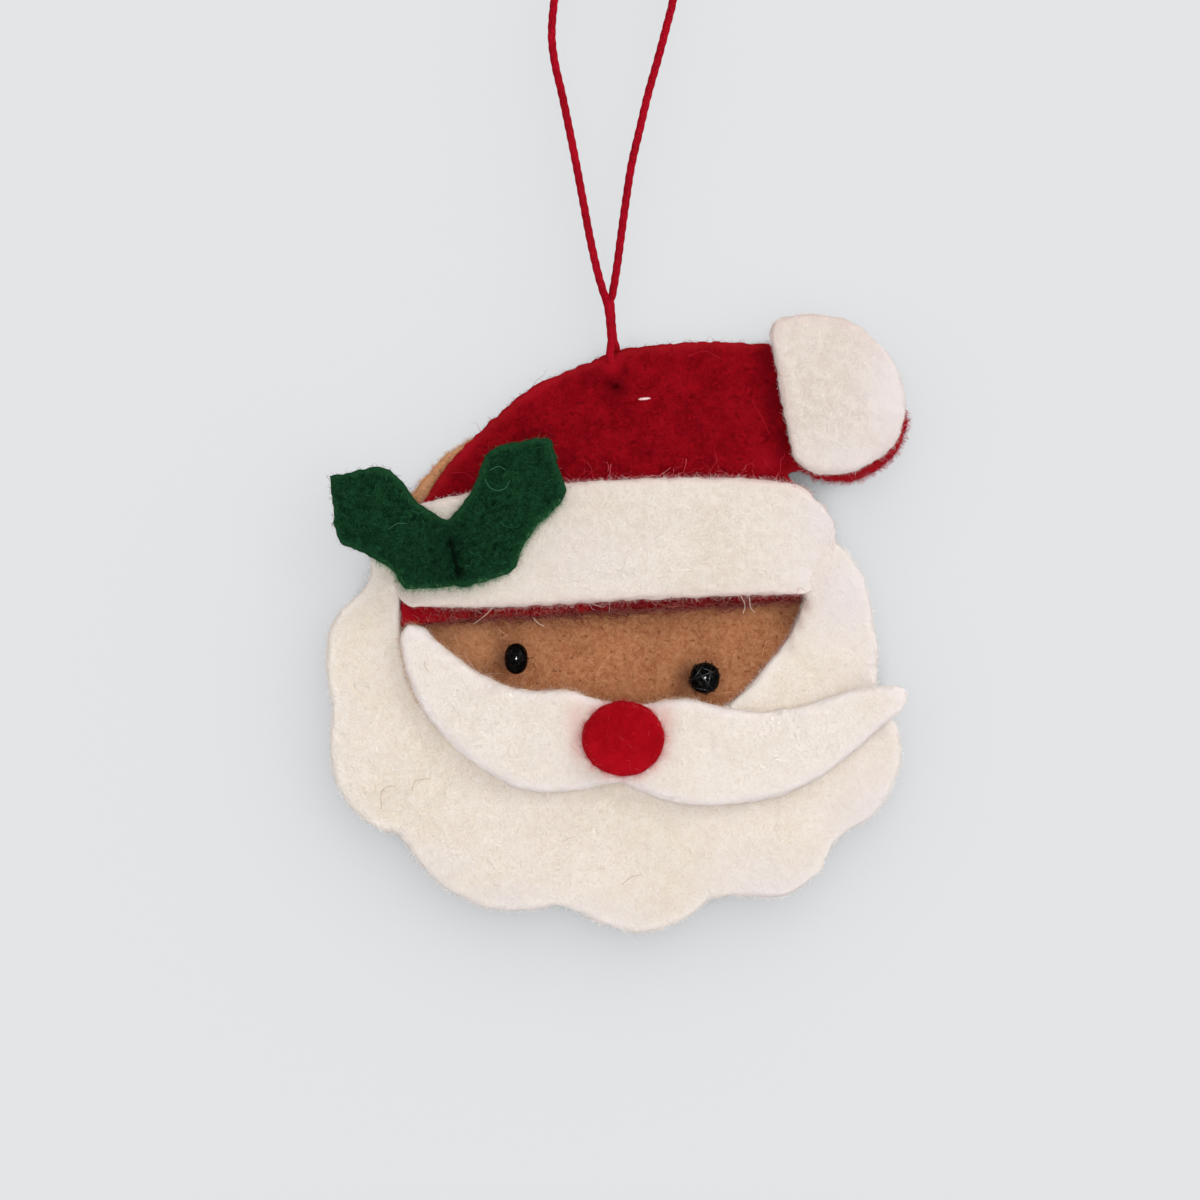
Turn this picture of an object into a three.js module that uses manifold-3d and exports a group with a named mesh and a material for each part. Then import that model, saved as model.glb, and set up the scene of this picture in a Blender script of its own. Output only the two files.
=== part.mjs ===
// Felt ornament: a bearded head in a stocking cap, cut from flat wool felt in four layers,
// glued face to face and hung on a knotted loop of cord.
// Millimetres. +Z is up and the face looks along -Y. The origin is the point inside the top
// of the loop that a hook or twig carries. The felt outlines are drawn as [x, z] on squared
// paper whose z = 0 is the lower edge of the cap's brim.
import * as THREE from 'three';
import { mergeVertices } from 'three/addons/utils/BufferGeometryUtils.js';
import Module from 'manifold-3d';

// Cut size of the whole head, and the squares of the paper that its pattern is drawn on
const headWidth = 93;
const headHeight = 99;
const squaresAcross = 93;
const squaresUp = 99;
const squareWidth = headWidth / squaresAcross;
const squareHeight = headHeight / squaresUp;

// Felt and glue
const feltThickness = 2.2;
const feltEdge = 0.4;
const glueThickness = 0.3;
const seamGap = 0.4;

// Cap tab between the beard's arms
const tabLeft = -34.6;
const tabRight = 29.4;
const tabTop = 8.4;

// Nose
const noseWidth = 13;
const noseHeight = 11.8;
const noseX = 0.8 * squareWidth;
const noseZ = -22.1 * squareHeight;
const noseGlueInset = 1.6;

// Bead eyes
const beadDiameter = 5;
const beadBore = 1.2;
const beadSeat = 0.2;
const leftBeadLength = 3.7;
const leftEyeX = -16.3 * squareWidth;
const leftEyeZ = -9.4 * squareHeight;
const rightBeadLength = 4.7;
const rightEyeX = 13.9 * squareWidth;
const rightEyeZ = -12.5 * squareHeight;

// Sewing thread
const threadDiameter = 0.4;
const threadClearance = 0.3;
const threadBend = 0.6;
const backStitchGap = 0.6;
const stitchDepth = 4;

// Cord
const cordDiameter = 1.35;
const cordClearance = 0.3;
const pairSink = 0.15;
const twistGap = 0.5;
const upperNeckLength = 1.7;
const lowerNeckLength = 2.6;
const tiltGap = 0.56;
const saddleRise = 7;
const saddleStandOff = 0.1;
const edgeLean = 0.12;
const edgeRise = 1.3;
const capEdgeZ = 39.6 * squareHeight;
const holeX = -0.5;
const holeZ = capEdgeZ + edgeRise - saddleRise;
const backStrandShift = 0.6;
const tiltX = -1.3;
const swayX = -0.9;
const knotWidth = 4.4;
const knotHeight = 4.8;
const tailLength = 5.5;
const tailRoot = 0.6;
const tailSpread = 2.9;
const tailBow = 0.4;

// Facets
const curveSteps = 2;
const ovalSteps = 20;
const noseSteps = 28;
const bandSteps = 14;
const bandEndSteps = 5;
const cordSides = 8;
const neckSteps = 3;
const turnSteps = 6;
const tailSteps = 4;
const knotSides = 14;
const knotRings = 10;
const beadSides = 16;
const beadRings = 8;
const threadSides = 6;

// Colours and finishes
const white = { color: 0xeadfd2, roughness: 0.95 };
const tan = { color: 0xa76c49, roughness: 0.95 };
const red = { color: 0x800c15, roughness: 0.95 };
const noseRed = { color: 0xa20f19, roughness: 0.92 };
const green = { color: 0x122f1d, roughness: 0.95 };
const cordRed = { color: 0x96101f, roughness: 0.7 };
const black = { color: 0x0b0b0c, roughness: 0.12 };
const darkThread = { color: 0x14120f, roughness: 0.8 };
const paleThread = { color: 0xe9c6c2, roughness: 0.5 };
const glueClear = { color: 0xd8cfae, roughness: 0.35 };

const wasm = await Module();
wasm.setup();

// Felt layers, counted from the back: 0 panel, 1 cap and beard, 2 brim, bobble and moustache,
// 3 nose and holly. The cap's middle plane holds the cord, at y = 0.
const layerPitch = feltThickness + glueThickness;
const layerBack = (layer) => feltThickness / 2 + (1 - layer) * layerPitch;
const layerFront = (layer) => layerBack(layer) - feltThickness;

// A pattern point, from squares to millimetres.
const mark = ([x, z]) => new THREE.Vector2(x * squareWidth, z * squareHeight);

// A closed outline: each run is one smooth curve through its points, and runs meet in corners.
function outline(start, ...runs) {
  const shape = new THREE.Shape();
  shape.moveTo(...mark(start));
  for (const run of runs) {
    if (run.length === 1) {
      shape.lineTo(...mark(run[0]));
    } else {
      shape.splineThru(run.map(mark));
    }
  }
  return shape;
}

// A band of even width with round ends along a smooth middle line, in squares.
function band(middle, width) {
  const line = new THREE.SplineCurve(middle.map(mark));
  const side = (share, turn) => {
    const tangent = line.getTangentAt(share).rotateAround(new THREE.Vector2(), turn);
    return line.getPointAt(share).addScaledVector(tangent, (width * squareHeight) / 2);
  };
  const points = [];
  for (let i = 0; i <= bandSteps; i += 1) {
    points.push(side(i / bandSteps, Math.PI / 2));
  }
  for (let i = 1; i < bandEndSteps; i += 1) {
    points.push(side(1, Math.PI / 2 - (Math.PI * i) / bandEndSteps));
  }
  for (let i = bandSteps; i >= 0; i -= 1) {
    points.push(side(i / bandSteps, -Math.PI / 2));
  }
  for (let i = 1; i < bandEndSteps; i += 1) {
    points.push(side(0, -Math.PI / 2 - (Math.PI * i) / bandEndSteps));
  }
  return new THREE.Shape(points);
}

function oval(x, z, width, height) {
  const shape = new THREE.Shape();
  shape.absellipse(x, z, width / 2, height / 2, 0, 2 * Math.PI);
  return shape;
}

// Felt cut to an outline, with softly rounded edges and its back in the plane y = 0.
function feltGeometry(shape, steps = curveSteps) {
  const geometry = new THREE.ExtrudeGeometry(shape, {
    depth: feltThickness - 2 * feltEdge,
    bevelThickness: feltEdge,
    bevelSize: feltEdge,
    bevelOffset: -feltEdge,
    bevelSegments: 1,
    curveSegments: steps,
  });
  geometry.translate(0, 0, feltEdge);
  geometry.rotateX(Math.PI / 2);
  return geometry;
}

function glueGeometry(shape, steps = curveSteps) {
  const geometry = new THREE.ExtrudeGeometry(shape, {
    depth: glueThickness,
    bevelEnabled: false,
    curveSegments: steps,
  });
  geometry.rotateX(Math.PI / 2);
  return geometry;
}

// A round strand along a curve, with flat ends.
function strandGeometry(curve, diameter, sides, steps) {
  const section = new THREE.Shape();
  section.setFromPoints(
    Array.from({ length: sides }, (_, i) => {
      const angle = (2 * Math.PI * i) / sides;
      return new THREE.Vector2(Math.cos(angle), Math.sin(angle)).multiplyScalar(diameter / 2);
    }),
  );
  return new THREE.ExtrudeGeometry(section, { steps, extrudePath: curve, bevelEnabled: false });
}

const smooth = (points) =>
  new THREE.CatmullRomCurve3(
    points.map((point) => new THREE.Vector3(...point)),
    false,
    'centripetal',
  );

// Straight runs joined by round bends.
function bentLine(points, bend) {
  const corners = points.map((point) => new THREE.Vector3(...point));
  const path = new THREE.CurvePath();
  let from = corners[0];
  for (let i = 1; i < corners.length - 1; i += 1) {
    const corner = corners[i];
    const into = corners[i - 1].clone().sub(corner).setLength(bend).add(corner);
    const out = corners[i + 1].clone().sub(corner).setLength(bend).add(corner);
    path.add(new THREE.LineCurve3(from, into));
    path.add(new THREE.QuadraticBezierCurve3(into, corner, out));
    from = out;
  }
  path.add(new THREE.LineCurve3(from, corners.at(-1)));
  return path;
}

function solidOf(geometry) {
  const bare = geometry.clone();
  bare.deleteAttribute('normal');
  bare.deleteAttribute('uv');
  const welded = mergeVertices(bare);
  return new wasm.Manifold(
    new wasm.Mesh({
      numProp: 3,
      vertProperties: new Float32Array(welded.attributes.position.array),
      triVerts: new Uint32Array(welded.index.array),
    }),
  );
}

function geometryOf(solid) {
  const { vertProperties, triVerts } = solid.getMesh();
  const geometry = new THREE.BufferGeometry();
  geometry.setAttribute('position', new THREE.BufferAttribute(vertProperties, 3));
  geometry.setIndex(new THREE.BufferAttribute(triVerts, 1));
  geometry.computeVertexNormals();
  return geometry;
}

const cut = (geometry, ...tools) =>
  geometryOf(tools.reduce((solid, tool) => solid.subtract(solidOf(tool)), solidOf(geometry)));

const join = (...geometries) =>
  geometryOf(geometries.map(solidOf).reduce((whole, solid) => whole.add(solid)));

function piece(name, geometry, finish, y = 0) {
  const mesh = new THREE.Mesh(geometry, new THREE.MeshStandardMaterial(finish));
  mesh.name = name;
  mesh.position.y = y;
  return mesh;
}

// The cap's tab on the squared paper, with the seam that the beard leaves beside it
const tab = {
  left: tabLeft / squareWidth,
  right: tabRight / squareWidth,
  top: tabTop / squareHeight,
  seam: seamGap / squareWidth,
};

// Felt outlines
const panelShape = () =>
  outline(
    [-32.2, 17.9],
    [[-28.6, 22.6], [-26.2, 24.9], [-22.9, 26.6]],
    [[-20.2, 29.2], [-14.1, 34.3], [-5.6, 38.1], [3, 39.6], [12.8, 40.5], [19.5, 39.6], [23.4, 35.8], [24.6, 29]],
    [[24.9, 21.5], [27.6, 14], [33.6, 4], [35.4, -8], [33.4, -21], [26.5, -33], [14, -41.5]],
    [[0, -44.5], [-14, -42], [-27.5, -33], [-36, -20], [-38.9, -6], [-38.2, 6], [-35.6, 13], [-32.2, 17.9]],
  );

const hatShape = () =>
  outline(
    [tab.left, -4.3],
    [[tab.left + 4.2, -3.7], [-21, -2.9], [-12.3, -2.5], [-3.8, -1.9], [6.7, -1.4], [16.6, -0.8], [tab.right, 0.2]],
    [[tab.right, tab.top]],
    [[33.2, 10.4]],
    [[33.7, 12.9], [31.5, 15.5], [28.8, 17.8], [26.9, 20.3]],
    [[29.6, 20.9], [31.6, 19.6]],
    [[36.3, 18.9], [40.3, 20.2], [43.5, 22.5], [45.5, 25.8], [46.2, 29.2], [44.5, 33], [40.8, 36.5], [35.5, 39.2]],
    [[29.1, 40.6], [18.2, 41.2], [12.8, 41.3], [7.2, 40.7], [1.8, 40.2]],
    [[-1.9, 39.3], [-5.5, 37.7], [-10.7, 35.6], [-13.9, 33.9], [-17, 31.5], [-22.5, 26.6], [-26.5, 22.7]],
    [[-28.5, 20], [-31, 15.7], [-33.3, 11.5], [tab.left, tab.top]],
    [[tab.left, -4.3]],
  );

const beardShape = () =>
  outline(
    [tab.left - tab.seam, tab.top],
    [
      [tab.left - 2.4, tab.top + 0.9],
      [tab.left - 4.3, tab.top + 0.2],
      [tab.left - 4.8, 6.2],
      [tab.left - 5.1, 3.5],
      [-41.6, 0.6],
      [-44.6, -2.1],
      [-46.2, -5.6],
      [-46.7, -10],
    ],
    [[-46.3, -13.8], [-45.4, -16.8]],
    [[-45.9, -20.8], [-45.9, -24.2], [-45.3, -28.5], [-43.5, -32], [-41.6, -34.2], [-38.4, -36.5], [-34.9, -37.6]],
    [[-31.5, -42.4], [-28.3, -45.6], [-24.5, -47.8], [-20.6, -49.4], [-16.3, -49.8], [-12.8, -49.4], [-10.1, -48.8]],
    [[-7.4, -49.4], [-4.6, -51], [0.8, -52.8], [3.2, -53.2], [7.8, -52.3], [11.2, -50.7], [15, -47.5]],
    [[18.2, -47.2], [21.6, -47.5], [25.1, -47.5], [27.2, -47.2], [29.9, -45.4], [32.5, -43], [34.1, -39.2]],
    [[36.6, -37.1], [40, -35], [42.1, -33], [43.8, -30.1], [45.1, -26.7], [45.3, -23.8], [44, -19], [41.1, -14.4]],
    [
      [41.4, -12],
      [41.6, -8],
      [41.1, -5.9],
      [40.6, -2.7],
      [39.8, 1.6],
      [tab.right + 8.5, tab.top - 2],
      [tab.right + 6.9, tab.top + 0.4],
      [tab.right + 5.1, tab.top + 1.3],
    ],
    [[tab.right + 2.6, tab.top + 1], [tab.right + tab.seam, tab.top - 0.6]],
    [[tab.right + tab.seam, 0]],
    [[28.5, -4], [26.6, -7.2], [23.8, -10.9], [21.3, -13.8], [18.1, -16.6], [13.1, -19.5], [3.5, -21.4], [-4.5, -21.4]],
    [[-14, -20.5], [-22, -18.5], [-27.7, -15.5], [-31.7, -11.5], [-34, -7.6], [tab.left - tab.seam, -4.5]],
    [[tab.left - tab.seam, tab.top]],
  );

const brimShape = () =>
  outline(
    [-33.6, -0.9],
    [[-27, -1.1], [-21, -1.1], [-12.3, -0.8], [-3.8, -0.3], [6.7, 0.3], [20, 0.8], [29.1, 1]],
    [[32, 2.1], [33.9, 5.3], [34.6, 9.6], [34.2, 12.6], [33.1, 14.3], [31.8, 15.9], [29.9, 17.6], [28, 18.5]],
    [[22.1, 19.2], [15.5, 19.4], [8.8, 19.5], [-1.8, 19], [-8.5, 18.6], [-15.7, 17.9], [-23.4, 17.1], [-31, 15.5]],
    [[-33.8, 14], [-35.8, 10.4], [-36.3, 6.4], [-35.7, 2.4], [-34.9, 0.4], [-33.6, -0.9]],
  );

const bobbleShape = () =>
  outline(
    [24.3, 42.6],
    [[24.6, 44], [25.9, 44.9], [29, 45.4], [31.8, 45.5], [34.7, 45.1], [37.8, 44], [40.5, 42], [42.9, 39.5]],
    [[44.6, 36.6], [45.6, 33.3], [45.8, 30.2], [45.1, 27], [43.6, 24.4], [41, 22.3], [38.1, 20.8], [34.7, 20.1]],
    [[32.2, 20.3], [29.6, 21.4], [28.1, 22.8]],
    [[24.3, 42.6]],
  );

const moustacheShape = () =>
  outline(
    [-33, -3.9],
    [[-31.2, -4.5], [-29.4, -6.2], [-26.9, -8.2], [-23.8, -10.7], [-20.3, -12.8], [-16.6, -14.1], [-12.3, -14.7]],
    [[-9.3, -14.4], [-6.7, -14.7], [-4.3, -15.7], [0.6, -16.8], [5.3, -16.6], [7.8, -16], [11.2, -15.9]],
    [[13.4, -16.3], [16, -17.1], [20, -17.8], [24.8, -17.9], [29.8, -17], [34.7, -15.4], [38.9, -14.2], [42.9, -13.7]],
    [[45.1, -13.9], [46.2, -15.3], [45.3, -17.6], [42.6, -19.7], [39, -22.9], [35.5, -25.9], [32.5, -28.2]],
    [[28.6, -30.2], [25.1, -31.5], [21, -32.3], [16.5, -32.8], [12.6, -32.8], [8.8, -32.2], [5.4, -31.2], [0.5, -29.1]],
    [[-2.4, -29.4], [-6.1, -30.2], [-10.1, -30.7], [-13.8, -30.5], [-18.1, -29.1], [-22.1, -26.7], [-25.4, -24.2]],
    [[-29, -20.5], [-31.8, -16.5], [-33.4, -12.8], [-34.4, -8.8], [-34.7, -5.9], [-34.1, -4.4], [-33, -3.9]],
  );

const hollyShape = () =>
  outline(
    [-27.2, 12.5],
    [[-25.1, 14.6], [-22.9, 17.9], [-21.9, 20.5], [-21.1, 22.9]],
    [[-19.7, 24.1], [-16.8, 24.8], [-13.4, 25.6], [-10.6, 25.6]],
    [[-9.8, 21.9], [-8.5, 18.2], [-8.6, 16.5], [-10.6, 13.9]],
    [[-12.8, 12], [-14.2, 9.9], [-15.7, 7.7], [-16.3, 5.4], [-17.4, 4.2]],
    [[-20.3, 3.4], [-24.3, 2.1], [-25.9, 2.2], [-29.9, 1.9], [-33.8, 1.9]],
    [[-34.9, 2.9], [-36, 4.8], [-39.4, 6.9], [-41.9, 8.2], [-43.7, 8.8]],
    [[-44.8, 10.6], [-45.3, 14.6], [-45.8, 19.7]],
    [[-42.2, 20.3], [-38.9, 21], [-36.5, 20.8]],
    [[-35, 19.4], [-32.8, 16.5], [-31.4, 14.9], [-29.1, 13.6], [-27.2, 12.5]],
  );

// Glue outlines, each inside the two felts that it joins
const hatGlueShape = () => band([[-17, 12.5], [-6, 16], [8, 17], [17, 14.5]], 14);
const beardGlueShape = () => band([[-30, -25], [-18, -35], [0, -38], [17, -34], [29, -22]], 6);
const brimGlueShape = () => band([[-26, 8], [-10, 9], [10, 9.5], [24, 9]], 9);
const bobbleGlueShape = () => oval(...mark([35.5, 30.5]), ...mark([13, 13]));
const moustacheGlueShape = () =>
  band([[-25.4, -21.8], [-19, -25.4], [-9, -27.2], [2, -26.2], [14, -28.6], [32, -22.8]], 3.6);
const noseGlueShape = () => oval(noseX, noseZ, noseWidth - 2 * noseGlueInset, noseHeight - 2 * noseGlueInset);
const hollyGlueShape = () => oval(...mark([-20.8, 9.6]), ...mark([7, 8.4]));

// Beads: rounded barrels with a bore along X
function beadGeometry(length) {
  const radius = beadDiameter / 2;
  const bore = beadBore / 2;
  const profile = [];
  for (let i = 0; i <= beadRings; i += 1) {
    const angle = (Math.PI * i) / beadRings;
    const reach = bore + (radius - bore) * Math.sqrt(Math.sin(angle));
    profile.push(new THREE.Vector2(reach, (-length / 2) * Math.cos(angle)));
  }
  profile.push(profile[0].clone());
  const geometry = new THREE.LatheGeometry(profile, beadSides);
  geometry.rotateZ(-Math.PI / 2);
  return geometry;
}

const eyeY = layerFront(0) - beadSeat - beadDiameter / 2;

// A bead's thread: through the bore, back through the panel, and tucked into its back
function eyeThreadPath(eyeX, eyeZ, beadLength) {
  const reach = beadLength / 2 + threadClearance + threadDiameter / 2 + threadBend / 2;
  const tuck = layerBack(0) - threadDiameter / 2 - threadClearance / 2;
  return bentLine(
    [
      [eyeX - backStitchGap / 2, tuck, eyeZ],
      [eyeX - reach, tuck, eyeZ],
      [eyeX - reach, eyeY, eyeZ],
      [eyeX + reach, eyeY, eyeZ],
      [eyeX + reach, tuck, eyeZ],
      [eyeX + backStitchGap / 2, tuck, eyeZ],
    ],
    threadBend,
  );
}

// A short stitch on a felt layer's front, with its two legs sunk into the felt behind
function stitchPath([x0, z0], [x1, z1], layer, depth) {
  const face = layerFront(layer) - threadDiameter / 4;
  const end = face + depth;
  return bentLine([[x0, end, z0], [x0, face, z0], [x1, face, z1], [x1, end, z1]], threadBend);
}

const hatStitchEnds = [[3.2, 32.1], [5.3, 32.3]].map(mark);
const hollyStitchEnds = [[-26.7, 9.9], [-25.3, 3.7]].map(mark);
const threadWidth = threadDiameter + 2 * threadClearance;
const stitchSteps = 16;
const eyeThreadSteps = 30;

const thread = (path, steps) => strandGeometry(path, threadDiameter, threadSides, steps);
const threadCut = (path, steps) => strandGeometry(path, threadWidth, threadSides, steps);
const eyeThreads = [
  ['left_eye_thread', eyeThreadPath(leftEyeX, leftEyeZ, leftBeadLength)],
  ['right_eye_thread', eyeThreadPath(rightEyeX, rightEyeZ, rightBeadLength)],
];
const hatStitch = stitchPath(...hatStitchEnds, 1, stitchDepth);
const hollyStitch = stitchPath(...hollyStitchEnds, 3, stitchDepth);
const hatStitchCut = threadCut(stitchPath(...hatStitchEnds, 1, stitchDepth + threadClearance), stitchSteps);
const hollyStitchCut = threadCut(stitchPath(...hollyStitchEnds, 3, stitchDepth + threadClearance), stitchSteps);

// Cord routes of the loop, from the knot down to where the strands meet
const leftRoute = [
  [-0.9, 0, 1.3], [-1.2, 0, 0.2], [-2, 0, -1.2], [-3.8, 0, -4.4], [-6.1, 0, -9.6], [-8.2, 0, -14.8], [-9.7, 0, -19.6],
  [-10.4, 0, -24], [-10.6, 0, -28.4], [-10.1, 0, -32.4], [-9, 0, -37.2], [-8, 0, -42], [-6.8, 0, -48], [-5.6, 0, -54.4],
  [-4.4, 0, -60.8], [-3.2, 0, -66.4], [-2.4, 0, -69.8],
];
const rightRoute = [
  [0.9, 0, 1.3], [1.2, 0, 0.2], [2.3, 0, -1.2], [4.5, 0, -4.4], [6.9, 0, -9], [8.6, 0, -13.8], [9.3, 0, -18.6],
  [8.8, 0, -22.4], [7.8, 0, -26.4], [6.4, 0, -31.7], [4.8, 0, -37.4], [3.5, 0, -42.9], [2.2, 0, -48.5], [1.3, 0, -54.2],
  [0.5, 0, -60], [-0.2, 0, -65.3], [-0.7, 0, -69.8],
];
const loopSteps = 30;

// The two strands lie side by side at the tilt pivot and one behind the other at the sway pivot
const cordRadius = cordDiameter / 2;
const pairHalf = (cordDiameter - pairSink) / 2;
const meetX = (leftRoute.at(-1)[0] + rightRoute.at(-1)[0]) / 2;
const neckTop = leftRoute.at(-1)[2] - twistGap;
const tiltZ = neckTop - upperNeckLength;
const lowerTop = tiltZ - cordDiameter - tiltGap;
const swayZ = lowerTop - lowerNeckLength;
const saddleTop = swayZ - cordRadius - cordClearance;

function roundEnd(x, y, z) {
  const geometry = new THREE.SphereGeometry(cordRadius, cordSides, cordSides - 2);
  geometry.rotateX(Math.PI / 2);
  geometry.translate(x, y, z);
  return geometry;
}

const cord = (points, steps) => strandGeometry(smooth(points), cordDiameter, cordSides, steps);

function upperNeckGeometry() {
  const sides = [-pairHalf, pairHalf].map((x) => [
    cord([[meetX + x, 0, neckTop], [tiltX + x, 0, tiltZ]], 2),
    roundEnd(tiltX + x, 0, tiltZ),
  ]);
  return join(...sides.flat());
}

function lowerNeckGeometry() {
  const quarter = Math.PI / 2;
  const sides = [-1, 1].map((side) => {
    const points = Array.from({ length: neckSteps + 1 }, (_, i) => {
      const share = i / neckSteps;
      const x = THREE.MathUtils.lerp(tiltX, swayX, share) + side * pairHalf * Math.cos(quarter * share);
      return [x, side * pairHalf * Math.sin(quarter * share), THREE.MathUtils.lerp(lowerTop, swayZ, share)];
    });
    return [cord(points, 2 * neckSteps), roundEnd(...points[0]), roundEnd(...points.at(-1))];
  });
  return join(...sides.flat());
}

// The saddle: down the cap's front, through its hole, and up between the cap and the panel
function saddleRoute() {
  const frontY = layerFront(1) - cordRadius - saddleStandOff;
  const backY = layerBack(1) + glueThickness / 2;
  const turn = (backY - frontY) / 2;
  const middleY = (backY + frontY) / 2;
  const top = holeZ + saddleRise;
  const edge = top - cordDiameter;
  const low = holeZ + turn;
  const bottom = Array.from({ length: turnSteps - 1 }, (_, i) => {
    const angle = (Math.PI * (i + 1)) / turnSteps;
    return [holeX, middleY - turn * Math.cos(angle), low - turn * Math.sin(angle)];
  });
  return [
    [swayX, -pairHalf, top],
    [swayX, frontY + edgeLean, edge],
    [swayX, frontY, edge - cordDiameter],
    [holeX, frontY, low],
    ...bottom,
    [holeX + backStrandShift / 2, backY, low],
    [holeX + backStrandShift, backY, edge - cordDiameter],
    [holeX + backStrandShift / 2, backY - edgeLean, edge],
    [swayX, pairHalf, top],
  ];
}
const saddlePath = smooth(saddleRoute());
const saddleSteps = 26;
const saddleCut = strandGeometry(saddlePath, cordDiameter + 2 * cordClearance, cordSides, saddleSteps);

// The knot: a tight lump with two short tails
function knotGeometry() {
  const base = leftRoute[0][2] + cordClearance;
  const lump = new THREE.SphereGeometry(1 / 2, knotSides, knotRings);
  lump.rotateX(Math.PI / 2);
  lump.scale(knotWidth, knotWidth, knotHeight);
  lump.translate(0, 0, base + knotHeight / 2);
  const crown = base + knotHeight - cordDiameter;
  const tails = [-1, 1].map((side) =>
    cord(
      [
        [side * tailRoot, 0, crown],
        [side * (tailRoot + tailSpread) * tailBow, 0, crown + tailLength / 2],
        [side * tailSpread, 0, crown + tailLength],
      ],
      tailSteps,
    ),
  );
  return join(lump, ...tails);
}

// Assembly
const head = new THREE.Group();
head.position.z = saddleTop - holeZ - saddleRise;
head.add(
  piece(
    'face_panel',
    cut(
      feltGeometry(panelShape()).translate(0, layerBack(0), 0),
      saddleCut,
      hatStitchCut,
      ...eyeThreads.map(([, path]) => threadCut(path, eyeThreadSteps)),
    ),
    tan,
  ),
  piece('hat', cut(feltGeometry(hatShape()).translate(0, layerBack(1), 0), saddleCut, hatStitchCut), red),
  piece('beard', feltGeometry(beardShape()), white, layerBack(1)),
  piece('brim', cut(feltGeometry(brimShape()).translate(0, layerBack(2), 0), hollyStitchCut), white),
  piece('bobble', feltGeometry(bobbleShape()), white, layerBack(2)),
  piece('moustache', feltGeometry(moustacheShape()), white, layerBack(2)),
  piece('nose', feltGeometry(oval(noseX, noseZ, noseWidth, noseHeight), noseSteps), noseRed, layerBack(3)),
  piece('holly', cut(feltGeometry(hollyShape()).translate(0, layerBack(3), 0), hollyStitchCut), green),
  piece('hat_glue', glueGeometry(hatGlueShape()), glueClear, layerFront(0)),
  piece('beard_glue', glueGeometry(beardGlueShape()), glueClear, layerFront(0)),
  piece('brim_glue', glueGeometry(brimGlueShape()), glueClear, layerFront(1)),
  piece('bobble_glue', glueGeometry(bobbleGlueShape(), ovalSteps), glueClear, layerFront(1)),
  piece('moustache_glue', glueGeometry(moustacheGlueShape()), glueClear, layerFront(1)),
  piece('nose_glue', glueGeometry(noseGlueShape(), ovalSteps), glueClear, layerFront(2)),
  piece('holly_glue', glueGeometry(hollyGlueShape(), ovalSteps), glueClear, layerFront(2)),
  piece('left_eye', beadGeometry(leftBeadLength).translate(leftEyeX, eyeY, leftEyeZ), black),
  piece('right_eye', beadGeometry(rightBeadLength).translate(rightEyeX, eyeY, rightEyeZ), black),
  ...eyeThreads.map(([name, path]) => piece(name, thread(path, eyeThreadSteps), darkThread)),
  piece('hat_stitch', thread(hatStitch, stitchSteps), paleThread),
  piece('holly_stitch', thread(hollyStitch, stitchSteps), darkThread),
  piece('cord_saddle', strandGeometry(saddlePath, cordDiameter, cordSides, saddleSteps), cordRed),
);

const ornament = new THREE.Group();
ornament.add(
  head,
  piece('loop_left_strand', cord(leftRoute, loopSteps), cordRed),
  piece('loop_right_strand', cord(rightRoute, loopSteps), cordRed),
  piece('loop_knot', knotGeometry(), cordRed),
  piece('neck_upper', upperNeckGeometry(), cordRed),
  piece('neck_lower', lowerNeckGeometry(), cordRed),
);

export default ornament;
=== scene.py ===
# Layered wool felt ornament on a red cord: its looks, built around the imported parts, in metres
import math

import bmesh
import bpy
import numpy as np
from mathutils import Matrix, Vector


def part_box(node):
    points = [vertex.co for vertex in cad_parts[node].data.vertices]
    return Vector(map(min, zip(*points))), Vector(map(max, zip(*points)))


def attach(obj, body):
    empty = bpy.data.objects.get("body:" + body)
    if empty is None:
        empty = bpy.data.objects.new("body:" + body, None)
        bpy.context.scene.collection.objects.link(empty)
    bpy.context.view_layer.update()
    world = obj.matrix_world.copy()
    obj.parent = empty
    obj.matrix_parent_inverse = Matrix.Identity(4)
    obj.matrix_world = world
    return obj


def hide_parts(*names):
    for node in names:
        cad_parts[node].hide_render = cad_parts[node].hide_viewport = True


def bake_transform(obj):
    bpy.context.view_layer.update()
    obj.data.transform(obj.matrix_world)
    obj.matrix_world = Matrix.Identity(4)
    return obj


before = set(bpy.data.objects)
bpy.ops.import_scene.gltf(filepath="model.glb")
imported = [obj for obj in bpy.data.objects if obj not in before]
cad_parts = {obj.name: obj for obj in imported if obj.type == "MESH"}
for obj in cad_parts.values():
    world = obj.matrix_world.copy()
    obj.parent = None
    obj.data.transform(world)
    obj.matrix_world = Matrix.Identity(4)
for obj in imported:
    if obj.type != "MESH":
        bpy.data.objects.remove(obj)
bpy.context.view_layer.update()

scene = bpy.context.scene
scene.view_settings.view_transform = "Standard"
mm = 0.001
brimLine = -118.385 * mm  # height of the brim's lower edge, the zero line of the felt pattern


# Places on the felt pattern, in mm across and up from the brim line
def onPattern(across, up, depth=0.0):
    return (across * mm, depth * mm, up * mm + brimLine)


# Colours are written as they look, 0 to 255, and become linear light here
def tint(red, green, blue):
    def linear(level):
        share = level / 255
        return share / 12.92 if share <= 0.04045 else ((share + 0.055) / 1.055) ** 2.4

    return (linear(red), linear(green), linear(blue), 1.0)


def tints(look, *keys):
    return [tint(*look[key]) for key in keys]


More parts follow.
